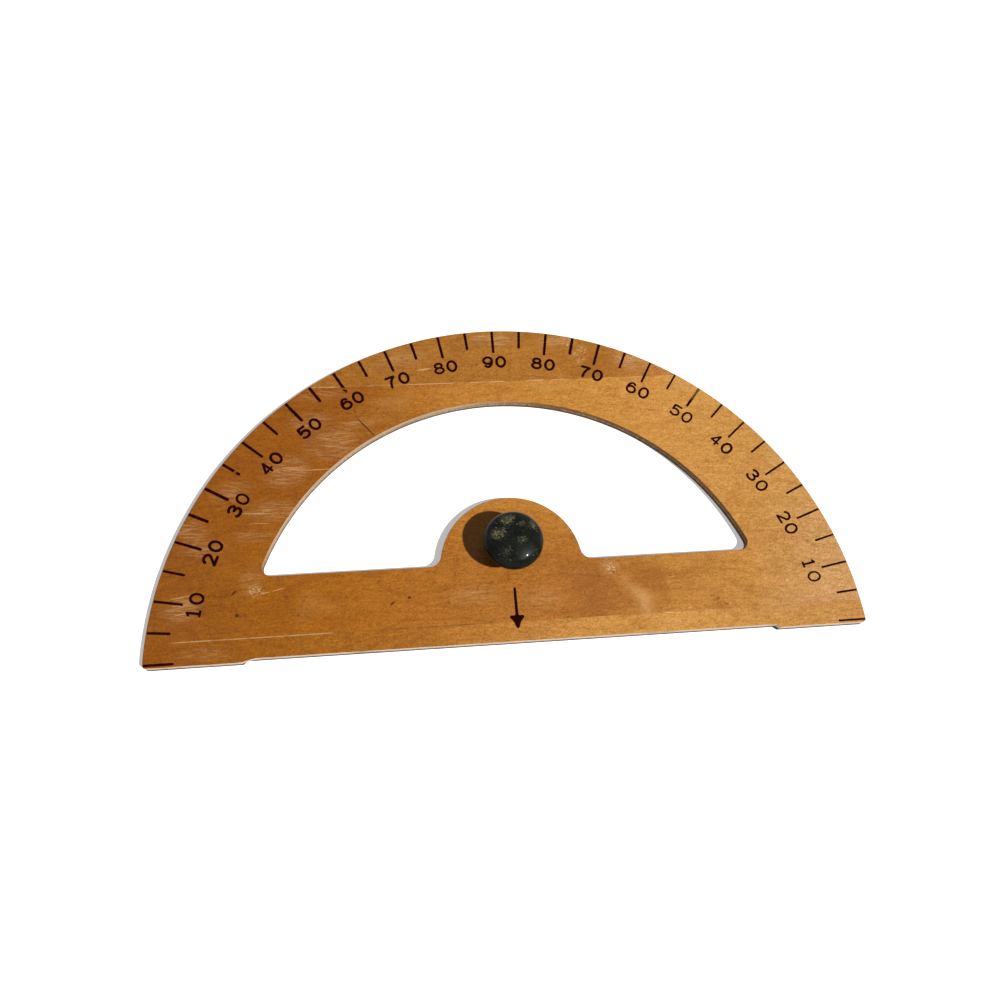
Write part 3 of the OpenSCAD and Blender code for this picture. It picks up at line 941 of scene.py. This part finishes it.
def plain_veneer(name, stops, shift):
    """The unprinted side of a leaf: the same veneer, duller and rubbed."""
    material, nodes = new_material(name)
    place = nodes.place()
    x, _, _ = nodes.xyz(place)
    colour, height = veneer_figure(nodes, place, tone(nodes, x, stops), shift)
    rubbed = nodes.noise(place, (14, 20, 20), (shift[0], 2, 5), detail=4, rough=0.6)
    colour = nodes.mix(nodes.step(rubbed, 0.48, 0.72, 0, 0.42), colour, srgb(196, 160, 118))
    scuffs = scratch_lines(nodes, place, BACK_SCUFFS)
    colour = nodes.mix(scuffs * 0.4, colour, srgb(222, 188, 142))
    roughness = rubbed.scaled(0.35, 0.32)
    finish_material(nodes, colour, roughness, height - scuffs, 0.00004, specular=0.3)
    return material


def ply_edge(name, dark, light, across_grain, bare_share, painted_sunlight_share):
    """The sawn edge of one ply: rubbed bare along the ruling edge and dirty elsewhere. Left of the gap, where
    the sun falls on them, the edges are painted paler as painted sunlight, and the bottom of the ruling edge
    carries a painted contact shadow.
    """
    material, nodes = new_material(name)
    place = nodes.place()
    x, y, z = nodes.xyz(place)
    streak_scale = (900, 900, 420) if across_grain else (160, 160, 2600)
    streaks = nodes.noise(place, streak_scale, (0, 0, 0), detail=3, rough=0.65)
    patches = nodes.noise(place, (45, 45, 200), (6, 1, 0), detail=3, rough=0.6)
    colour = nodes.mix(nodes.step(streaks, 0.32, 0.68), srgb(*dark), srgb(*light))
    colour = nodes.mix(nodes.step(patches, 0.45, 0.75, 0, 0.55), colour, srgb(78, 50, 26))
    at_ruling_edge = nodes.step(y, 1.6 * MM, 0.4 * MM)
    # Painted sunlight: the edges left of the gap, which face the sun, are painted paler; below, this joins
    # the rubbed wear of the ruling edge in one pale mix
    painted_sunlit_gap_side = nodes.step(x, 30 * MM, -25 * MM, 0, painted_sunlight_share) * nodes.step(y, 44 * MM, 60 * MM)
    rubbed = at_ruling_edge * nodes.step(patches, 0.72, 0.5, 0.35, 1.0) * nodes.step(z, 2.0 * MM, 2.8 * MM)
    bare = nodes.largest([rubbed, painted_sunlit_gap_side]) * bare_share
    colour = nodes.mix(bare, colour, srgb(234, 218, 196))
    # Painted contact shadow: the bottom of the ruling edge, below about 3 mm, goes near-black where the plate
    # meets the floor
    painted_contact_shadow = at_ruling_edge * nodes.step(z, 3.3 * MM, 2.8 * MM)
    colour = nodes.mix(painted_contact_shadow * 0.95, colour, srgb(8, 5, 4))
    for level in (BACK_TOP, CORE_TOP):
        glue = nodes.step(abs(z - level * MM), 0.16 * MM, 0.05 * MM)
        colour = nodes.mix(glue * 0.5, colour, srgb(82, 50, 26))
    finish_material(nodes, colour, streaks.scaled(0.25, 0.5), streaks, 0.00006, specular=0.12)
    return material


# Where the ink has gone from a line: start, stop, width and softness
INK_GAPS = [
    ((-150.4, 102.2), (-147.6, 105.0), 1.7, 0.4),
    ((-90.6, 154.6), (-87.4, 153.4), 1.3, 0.4),
    ((-88.8, 151.6), (-87.6, 151.9), 1.0, 0.5),
]


def printed_ink():
    """Dark brown printing ink, thin in places, and worn through to the wood at a few lines."""
    material, nodes = new_material("printed_ink")
    place = nodes.place()
    x, _, _ = nodes.xyz(place)
    wood, _ = veneer_figure(nodes, place, tone(nodes, x, BAND_TONES), (0, 0, 0))
    fleck = nodes.noise(place, (900, 900, 900), (2, 2, 2), detail=3, rough=0.65)
    ink = nodes.mix(nodes.step(fleck, 0.35, 0.75), srgb(28, 2, 3), srgb(46, 8, 9))
    faded = nodes.spot(place, (119.5, 143.0), (7.5, 1.6), 50, 0.5)
    ink = nodes.mix(faded * 0.75, ink, srgb(112, 92, 48))
    gaps = nodes.largest(nodes.stroke(place, *row) for row in INK_GAPS)
    worn = nodes.largest([gaps, nodes.step(fleck, 0.70, 0.80, 0, 0.5)])
    colour = nodes.mix(worn, ink, wood)
    finish_material(nodes, colour, fleck.scaled(0.25, 0.5), fleck, 0.00001, specular=0.02)
    return material


# Where the knob's paint is chipped: centre from its axis, half sizes, turn and strength
CHIPPED = [
    ((-3.0, 9.5), (8.0, 5.5), 10, 1.0), ((-8.5, 2.0), (7.0, 6.5), 0, 1.0),
    ((4.5, 7.0), (4.0, 3.2), 0, 0.85), ((10.5, 6.5), (5.0, 5.0), -30, 0.8),
    ((3.8, -2.5), (4.6, 3.8), 0, 0.85), ((-5.0, -7.5), (7.0, 4.0), 20, 0.5),
]


def worn_paint():
    """Near-black paint on the turned knob, worn through in flecks to a pale olive-grey."""
    material, nodes = new_material("worn_paint")
    place = nodes.place()
    cloud = nodes.noise(place, (140, 140, 140), (1, 1, 0), detail=4, rough=0.65)
    fine = nodes.noise(place, (900, 900, 900), (3, 1, 0), detail=3, rough=0.7)
    paint = nodes.mix(nodes.step(cloud, 0.35, 0.70), srgb(8, 10, 8), srgb(24, 28, 23))
    paint = nodes.mix(nodes.step(fine, 0.5, 0.75, 0, 0.35), paint, srgb(52, 56, 44))
    chips = nodes.noise(place, (380, 500, 380), (2, 6, 0), 35, detail=5, rough=0.72, bend=1.2)
    small = nodes.noise(place, (950, 1250, 950), (5, 3, 0), 20, detail=3, rough=0.65, bend=1.0)
    crumbs = nodes.noise(place, (1000, 1300, 1000), (7, 2, 0), 35, detail=3, bend=1.0)
    spread = nodes.noise(place, (95, 95, 95), (4, 4, 0), detail=3, rough=0.6)
    where = nodes.largest(
        nodes.spot(place, (x, KNOB_RISE + y), half_sizes, turn, 0.9) * strength
        for (x, y), half_sizes, turn, strength in CHIPPED
    )
    bias = where.scaled(0.21, spread.scaled(0.2, -0.13))
    chipped = nodes.largest([
        nodes.step(chips + bias, 0.585, 0.69),
        nodes.step(small + bias, 0.62, 0.70, 0, 0.65),
    ])
    chipped = chipped * nodes.step(crumbs, 0.42, 0.52, 0.25, 1.0)
    under = nodes.mix(nodes.step(fine, 0.35, 0.65), srgb(72, 72, 52), srgb(148, 141, 110))
    colour = nodes.mix(chipped * 0.85, paint, under)
    roughness = chipped.scaled(0.28, cloud.scaled(0.14, 0.27))
    height = chipped.scaled(-0.8, fine * 0.4)
    finish_material(nodes, colour, roughness, height, 0.00007, specular=0.05, coat=0.04, coat_rough=0.07)
    return material


def aged_steel():
    """Dull steel of an old wood screw, with brown rust in patches."""
    material, nodes = new_material("aged_steel")
    place = nodes.place()
    patches = nodes.noise(place, (500, 500, 500), (0, 0, 0), detail=4, rough=0.7)
    turned = nodes.noise(place, (3000, 240, 3000), (1, 0, 0))
    steel = nodes.mix(turned, srgb(150, 144, 134), srgb(186, 180, 168))
    colour = nodes.mix(nodes.step(patches, 0.5, 0.66, 0, 0.8), steel, srgb(104, 66, 40))
    finish_material(nodes, colour, patches.scaled(0.5, 0.22), turned, 0.00002, metal=0.9)
    return material


def face_pieces():
    """The three leaves of the face ply and the edges that the saw left on them."""
    edge = ply_edge("face_ply_edge", (112, 72, 34), (168, 120, 72), False, 0.85, 0.5)
    right = outer_half(FOOT_SLOPE)
    left = mirrored(outer_half(WORN_SLOPE))
    bottom_right = clipped(right, 1, LOWER_SEAM, -1)[0]
    bottom_left = clipped(left, 1, LOWER_SEAM, -1)[-1]
    arm = clipped(clipped(right, 1, LOWER_SEAM, 1)[-1], 1, UPPER_SEAM, -1)[0]
    top = clipped(right, 1, UPPER_SEAM, 1)[0]
    gap = gap_half()
    hole = hole_rings((0, KNOB_RISE), [(HOLE_RADIUS, CORE_TOP), (HOLE_RADIUS, FACE_TOP)])
    middle = [Loop(arm, mirrored(arm)), Loop(gap, mirrored(gap)), hole]
    leaves = [
        ("face_leaf_lower", [Loop(bottom_right, bottom_left)], LOWER_TONES, (0.3, 0.1, 0), None),
        ("face_leaf_middle", middle, BAND_TONES, (0, 0, 0), BAR_TONES),
        ("face_leaf_upper", [Loop(top, mirrored(top))], UPPER_TONES, (0.7, 0.4, 0), None),
    ]
    for node, outlines, tones, shift, bar_tones in leaves:
        materials = [varnished_face("veneer_" + node, tones, shift, bar_tones), edge]
        piece = ply_piece("piece_" + node, [outlines], CORE_TOP, FACE_TOP, PLY_EASE, RIM_EASE, materials)
        mark_face(piece)
        stand_for(piece, "plate", "face_wood", node)


def core_pieces():
    """The three strips of the core, whose grain runs across the face's."""
    edge = ply_edge("core_ply_edge", (104, 78, 50), (190, 158, 122), True, 0.85, 0.25)
    hidden = plain_veneer("core_veneer", BAND_TONES, (1.1, 0.2, 0))
    outer = outer_half(FOOT_SLOPE)
    gap = gap_half()
    side_outer = clipped(outer, 0, CORE_SEAM, 1)[0]
    side_gap = clipped(gap, 0, CORE_SEAM, 1)[0]
    right_side = Loop(side_outer, side_gap)
    left_side = Loop(mirrored(side_gap), mirrored(side_outer))
    edge_part, arc_part = clipped(outer, 0, CORE_SEAM, -1)
    inner_part, bar_part = clipped(gap, 0, CORE_SEAM, -1)
    bar = Loop(edge_part, bar_part, mirrored(bar_part), mirrored(edge_part))
    crown = Loop(arc_part, mirrored(arc_part), mirrored(inner_part), inner_part)
    cone_end = BACK_TOP + (HEAD_AT_CORE - HOLE_RADIUS) / HEAD_SLOPE
    profile = [(HEAD_AT_CORE, BACK_TOP), (HOLE_RADIUS, cone_end), (HOLE_RADIUS, CORE_TOP)]
    materials = [hidden, edge]
    for node, groups in (
        ("core_left", [[left_side]]),
        ("core_middle", [[bar, hole_rings((0, KNOB_RISE), profile)], [crown]]),
        ("core_right", [[right_side]]),
    ):
        name = "piece_" + node
        piece = ply_piece(name, groups, BACK_TOP, CORE_TOP, PLY_EASE, PLY_EASE, materials, CORE_INSET)
        stand_for(piece, "plate", "core_wood", node)


def back_pieces():
    """The two leaves of the back ply, with the screw's countersink in the lower one."""
    edge = ply_edge("back_ply_edge", (70, 50, 30), (120, 88, 56), False, 0.5, 0.1)
    outer = outer_half(FOOT_SLOPE)
    gap = gap_half()
    low_outer = clipped(outer, 1, BACK_SEAM, -1)[0]
    low_gap = clipped(gap, 1, BACK_SEAM, -1)[0]
    high_outer = clipped(outer, 1, BACK_SEAM, 1)[-1]
    high_gap = clipped(gap, 1, BACK_SEAM, 1)[0]
    lower = Loop(low_outer, low_gap, mirrored(low_gap), mirrored(low_outer))
    upper = Loop(high_outer, mirrored(high_outer), mirrored(high_gap), high_gap)
    profile = [
        (HEAD_MOUTH + MOUTH_EASE, 0),
        (HEAD_MOUTH + MOUTH_EASE_MIDDLE, MOUTH_EASE_MIDDLE),
        (HEAD_MOUTH, MOUTH_EASE),
        (HEAD_MOUTH, HEAD_FLAT),
        (HEAD_AT_CORE, BACK_TOP),
    ]
    for node, group, stops, shift in (
        ("back_leaf_lower", [lower, hole_rings((0, KNOB_RISE), profile)], BAR_TONES, (2.1, 0.6, 0)),
        ("back_leaf_upper", [upper], UPPER_TONES, (2.9, 0.9, 0)),
    ):
        materials = [plain_veneer("veneer_" + node, stops, shift), edge]
        piece = ply_piece("piece_" + node, [group], 0, BACK_TOP, RIM_EASE, PLY_EASE, materials)
        stand_for(piece, "plate", "back_wood", node)


def knob_profile():
    """Half section of the knob above the face: (radius, height), from the bore round to the crown."""
    shoulder_x = KNOB_RADIUS - KNOB_SHOULDER
    rise = KNOB_HEIGHT - KNOB_BELLY
    crown = (shoulder_x ** 2 + rise ** 2 - KNOB_SHOULDER ** 2) / (2 * (rise - KNOB_SHOULDER))
    crown_start = math.degrees(math.atan2(KNOB_BELLY - KNOB_HEIGHT + crown, shoulder_x))
    cove_x = NECK_RADIUS + KNOB_COVE
    reach = KNOB_COVE + KNOB_SHOULDER
    cove_y = KNOB_BELLY - math.sqrt(reach ** 2 - (cove_x - shoulder_x) ** 2)
    cove_end = math.degrees(math.atan2(KNOB_BELLY - cove_y, shoulder_x - cove_x))
    cove_start = 180 + math.degrees(math.asin((cove_y - KNOB_FOOT_HEIGHT) / KNOB_COVE))
    cove = arc((cove_x, cove_y), KNOB_COVE, cove_start, cove_end, 5)
    foot_top = (KNOB_FOOT_RADIUS, KNOB_FOOT_HEIGHT)
    return join(
        [(0, BORE_DEPTH)],
        line((BORE_RADIUS, BORE_DEPTH - DRILL_TIP), (BORE_RADIUS, 0)),
        line((BORE_RADIUS, 0), (KNOB_FOOT_RADIUS - KNOB_EASE, 0), 2),
        rounded((0, 0), (KNOB_FOOT_RADIUS, 0), foot_top, KNOB_EASE),
        rounded((KNOB_FOOT_RADIUS, 0), foot_top, cove[0], KNOB_FOOT_EASE),
        cove,
        arc((shoulder_x, KNOB_BELLY), KNOB_SHOULDER, cove_end - 180, crown_start, 6),
        arc((0, KNOB_HEIGHT - crown), crown, crown_start, 90, 1.6),
    )


def knocked(place, ring):
    """A place on the turned knob, moved in by the tool's faint rings and by the dents."""
    push = 0.02 * noise.noise(place * 0.5) + 0.012 * math.sin(ring * 2.1)
    for centre, size, depth in DENTS:
        push -= depth * math.exp(-((place - Vector(centre)).length / size) ** 2)
    return place + (place - Vector((0, 0, KNOB_BELLY))).normalized() * min(push, 0)


def turned_knob():
    """The knob as it left the lathe, then knocked about a little."""
    places, rings = [], []
    for k, (radius, height) in enumerate(knob_profile()):
        count = 1 if radius < TINY else KNOB_SIDES
        rings.append(range(len(places), len(places) + count))
        for i in range(count):
            place = Vector((*polar(radius, 360 * i / KNOB_SIDES), height))
            # The bore and the seat stay as they were turned
            if radius > BORE_RADIUS + 1 and height > 0.5:
                place = knocked(place, k)
            places.append((place + Vector((0, KNOB_RISE, FACE_TOP))) * MM)
    faces = []
    for low_ring, high_ring in zip(rings, rings[1:]):
        for i in range(KNOB_SIDES):
            way_round = ((low_ring, i), (low_ring, i + 1), (high_ring, i + 1), (high_ring, i))
            corners = [ring[step % len(ring)] for ring, step in way_round]
            faces.append(list(dict.fromkeys(corners)))
    mesh = smooth_mesh("piece_knob", places, faces, [worn_paint()])
    mesh.update()
    stand_for(placed("piece_knob", mesh), "grip", "knob_paint", "knob")


def ellipse(centre, a, b, start, stop):
    """Points along part of an ellipse, from one angle in degrees to another."""
    count = math.ceil(abs(stop - start) / PEN_STEP)
    angles = [math.radians(start + (stop - start) * i / count) for i in range(count + 1)]
    return [(centre[0] + a * math.cos(t), centre[1] + b * math.sin(t)) for t in angles]


def digit_strokes(value):
    """The pen strokes of a digit about its own centre."""
    a, b = DIGIT_A, DIGIT_B
    upper = 0.45 * b
    lower = b - upper
    loop = 0.66 * b
    if value == 0:
        return [ellipse((0, 0), a, b, 0, 360)]
    if value == 1:
        return [[(0, -b), (0, b)], [(0, b), (-0.45 * a, 0.72 * b)], [(-0.5 * a, -b), (0.5 * a, -b)]]
    if value == 2:
        return [
            ellipse((0, 0.42 * b), 0.9 * a, 0.58 * b, 165, -40),
            [(0.69 * a, 0.05 * b), (-0.9 * a, -b)],
            [(-0.9 * a, -b), (0.95 * a, -b)],
        ]
    if value == 3:
        return [
            ellipse((-0.05 * a, b - upper), 0.86 * a, upper, 150, -90),
            ellipse((-0.05 * a, lower - b), a, lower, 90, -150),
        ]
    if value == 4:
        foot, top, left, right = (0.35 * a, -b), (0.35 * a, b), (-a, -0.5 * b), (0.9 * a, -0.5 * b)
        return [[foot, top], [top, left], [left, right]]
    if value == 5:
        return [
            [(0.85 * a, b), (-0.7 * a, b)],
            [(-0.7 * a, b), (-0.78 * a, 0.08 * b)],
            ellipse((-0.05 * a, -0.36 * b), a, 0.64 * b, 138, -145),
        ]
    if value == 6:
        side = ellipse((0, loop - b), a, 2 * b - loop, 55, 175)
        return [join(side, ellipse((0, loop - b), a, loop, 185, 510))]
    if value == 7:
        return [[(-0.9 * a, b), (0.9 * a, b)], ellipse((1.6 * a, -1.1 * b), 1.9 * a, 2.12 * b, 112, 177)]
    if value == 8:
        return [
            ellipse((0, b - upper), 0.82 * a, upper, 0, 360),
            ellipse((0, lower - b), a, lower, 0, 360),
        ]
    return [[(-x, -y) for x, y in stroke] for stroke in digit_strokes(6)]


class Ink:
    """Collects pen strokes on the face, and fills each group of them as one flat shape."""

    def __init__(self):
        self.skin = Skin()

    def outlines(self, stroke, widths, round_start=True):
        """Convex shapes that make up one stroke. The widths are those at its start and its end."""
        path = [Vector(p) for p in stroke]
        if len(path) == 2:
            path = [Vector(p) for p in line(stroke[0], stroke[1], 1.2)]
        rows = []
        for i, point in enumerate(path):
            way = (path[min(i + 1, len(path) - 1)] - path[max(i - 1, 0)]).normalized()
            width = widths[0] + (widths[1] - widths[0]) * i / (len(path) - 1)
            spread = 1 + 0.14 * noise.noise(Vector((point[0], point[1], 3)) * 0.8)
            across = Vector((-way.y, way.x)) * (width / 2 * spread)
            rows.append((point + across, point - across, across.length))
        shapes = []
        for (left_a, right_a, _), (left_b, right_b, _) in zip(rows, rows[1:]):
            shapes.append([right_a, right_b, left_b, left_a])
        for end in ((0, -1) if round_start else (-1,)):
            shapes.append([path[end] + Vector(polar(rows[end][2], 30 * k)) for k in range(12)])
        return shapes

    def fill(self, shapes):
        """The union of convex shapes, as a closed solid as thick as the ink."""
        corners, faces = [], []
        for shape in shapes:
            faces.append(list(range(len(corners), len(corners) + len(shape))))
            corners += shape
        made, _, triangles, _, _, owners = geometry.delaunay_2d_cdt(corners, [], faces, 0, 1e-5)
        kept = [t for t, owner in zip(triangles, owners) if owner]
        skin = self.skin
        under = skin.add_points([(v.x, v.y, FACE_TOP) for v in made])
        over = skin.add_points([(v.x, v.y, FACE_TOP + INK_THICKNESS) for v in made])
        up = Vector((0, 0, 1))
        edges = {(t[k], t[(k + 1) % 3]) for t in kept for k in range(3)}
        for triangle in kept:
            skin.add_face([over + c for c in triangle], [up] * 3, 0)
            skin.add_face([under + c for c in reversed(triangle)], [-up] * 3, 0)
        for a, b in edges:
            if (b, a) not in edges:
                way = made[b] - made[a]
                out = Vector((way.y, -way.x, 0)).normalized()
                skin.add_face([under + a, under + b, over + b, over + a], [out] * 4, 0)

    def make(self, node, material):
        piece = self.skin.make("piece_" + node, [material])
        stand_for(piece, "plate", "ink", node)


def weight(angle, light, heavy):
    """Stroke width at an angle of the scale: light at the right, heavy from the top round to the left."""
    return light + (heavy - light) * eased((angle - 52) / 20)


def degree_lines(material):
    """The graduation lines: heavier at the left, and heaviest where the stamp pressed hardest."""
    for node, first, length in (("ten_degree_lines", 0, LONG_LINE), ("five_degree_lines", 5, SHORT_LINE)):
        ink = Ink()
        for angle in range(first, 181, 10):
            width = ODD_LINES.get(angle, weight(angle, *LINE_WIDTHS))
            inner = LINE_END - length + width / 2
            taper = 1 + 0.1 * noise.noise(Vector((angle * 0.31, 0, 0)))
            widths = (width * taper, width / taper)
            ink.fill(ink.outlines([polar(LINE_END, angle), polar(inner, angle)], widths, False))
        ink.make(node, material)


def numerals(material):
    """The numbers, upright as seen from outside the arc's middle, heavier at the left like the lines."""
    ink = Ink()
    spread = math.degrees(DIGIT_PITCH / 2 / DIGIT_RING)
    for angle in range(10, 171, 10):
        for side, value in ((-1, min(angle, 180 - angle) // 10), (1, 0)):
            width = ODD_DIGITS.get((angle, side), weight(angle, *DIGIT_WIDTHS))
            bearing = angle - side * spread
            centre = Vector(polar(DIGIT_RING, bearing))
            shapes = []
            for stroke in digit_strokes(value):
                turned = []
                for x, y in stroke:
                    across, outward = Vector(polar(x, bearing - 90)), Vector(polar(y, bearing))
                    turned.append(tuple(centre + across + outward))
                shapes += ink.outlines(turned, (width, width))
            ink.fill(shapes)
    ink.make("numerals", material)


def vertex_arrow(material):
    """The arrow at the vertex: a straight shaft and a full head with rounded barbs."""
    ink = Ink()
    outline = [(x, y + ARROW_TIP) for x, y in HALF_HEAD]
    middle = (0, ARROW_TIP + SHAFT_START)
    shapes = [[Vector(middle), Vector(a), Vector(b)] for a, b in zip(outline, outline[1:])]
    shapes += [[Vector((-p.x, p.y)) for p in reversed(shape)] for shape in shapes]
    shapes += ink.outlines([middle, (0, ARROW_TIP + SHAFT_STOP)], SHAFT_WIDTHS)
    ink.fill(shapes)
    ink.make("vertex_arrow", material)


def dress_node(node, material):
    """Gives a carried-over CAD node its finish."""
    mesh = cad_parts[node].data
    mesh.materials.clear()
    mesh.materials.append(material)


# Half the width of the floor in metres, and how far it shows white of itself, which lightens its shadow
FLOOR_HALF = 6
FLOOR_GLOW = 0.4
WHITE = (1, 1, 1, 1)


def seen_or_lit(nodes, lit, seen):
    """The seen shader for rays that come from the eye or a reflection, the lit one for all other light."""
    rays = nodes.add("ShaderNodeLightPath").outputs
    kinds = ("Is Camera Ray", "Is Glossy Ray", "Is Transmission Ray")
    share = nodes.largest(Value(nodes, rays[kind]) for kind in kinds)
    return nodes.value("ShaderNodeMixShader", {0: share, 1: lit, 2: seen})


def stage():
    """A white floor that keeps the object's shadow."""
    mesh = bpy.data.meshes.new("floor")
    corners = [(x * FLOOR_HALF, y * FLOOR_HALF, 0) for x, y in ((-1, -1), (1, -1), (1, 1), (-1, 1))]
    mesh.from_pydata(corners, [], [(0, 1, 2, 3)])
    floor = placed("floor", mesh)
    material, nodes = new_material("floor_white")
    plain = nodes.value("ShaderNodeBsdfDiffuse", {"Color": (0.8, 0.8, 0.8, 1)})
    white = nodes.value("ShaderNodeBsdfDiffuse", {"Color": WHITE})
    glow = nodes.value("ShaderNodeEmission", {"Color": WHITE, "Strength": FLOOR_GLOW})
    shown = nodes.value("ShaderNodeAddShader", {0: white, 1: glow})
    nodes.add("ShaderNodeOutputMaterial", {"Surface": seen_or_lit(nodes, plain, shown)})
    mesh.materials.append(material)


# Share of the light that comes from the sky, and the sun's direction from the plate
SKY_SHARE = 0.085
SUN_BEARING = -35.2
SUN_ELEVATION = 53
SUN_SIZE = 1.6


def light():
    """A sun at the photograph's angle and an even sky, so that a level colour renders as written."""
    lamp = bpy.data.lights.new("sun", "SUN")
    lamp.angle = math.radians(SUN_SIZE)
    rise = math.radians(SUN_ELEVATION)
    lamp.energy = math.pi * (1 - SKY_SHARE) / math.sin(rise)
    lamp.color = (1.0, 0.985, 0.96)
    sun = placed("sun", lamp)
    x, y = polar(math.cos(rise), SUN_BEARING)
    sun.rotation_mode = "QUATERNION"
    sun.rotation_quaternion = Vector((x, y, math.sin(rise))).to_track_quat("Z", "Y")
    sun.location = (x, y, math.sin(rise))
    world = bpy.data.worlds.new("room")
    world.use_nodes = True
    nodes = Nodes(world.node_tree)
    sky = nodes.value("ShaderNodeBackground", {"Color": (0.95, 0.98, 1, 1), "Strength": SKY_SHARE})
    white = nodes.value("ShaderNodeBackground", {"Color": WHITE, "Strength": 1.0})
    nodes.add("ShaderNodeOutputWorld", {"Surface": seen_or_lit(nodes, sky, white)})
    bpy.context.scene.world = world
    bpy.context.scene.view_settings.view_transform = "Standard"


# The camera's place, the point of the face that it looks at, its roll and its lens
EYE = (-0.04794, -0.08795, 0.42952)
AIM = (-0.00372, 0.07989, 0.006)
ROLL = -4.976
LENS = 29.551


def camera():
    """The photograph's camera. The roll is turned from level with the ruling edge."""
    data = bpy.data.cameras.new("camera")
    data.lens = LENS
    data.sensor_width = 36
    data.clip_start = 0.01
    made = placed("camera", data)
    made.location = EYE
    back = (Vector(EYE) - Vector(AIM)).normalized()
    right = Vector((0, 1, 0)).cross(back).normalized()
    level = Matrix((right, back.cross(right), back)).transposed()
    made.rotation_mode = "QUATERNION"
    made.rotation_quaternion = level.to_quaternion() @ Quaternion((0, 0, 1), math.radians(ROLL))
    bpy.context.scene.camera = made


noise.seed_set(FIGURE_SEED)
camera()
light()
stage()
face_pieces()
core_pieces()
back_pieces()
turned_knob()
ink = printed_ink()
degree_lines(ink)
numerals(ink)
vertex_arrow(ink)
dress_node("knob_screw", aged_steel())
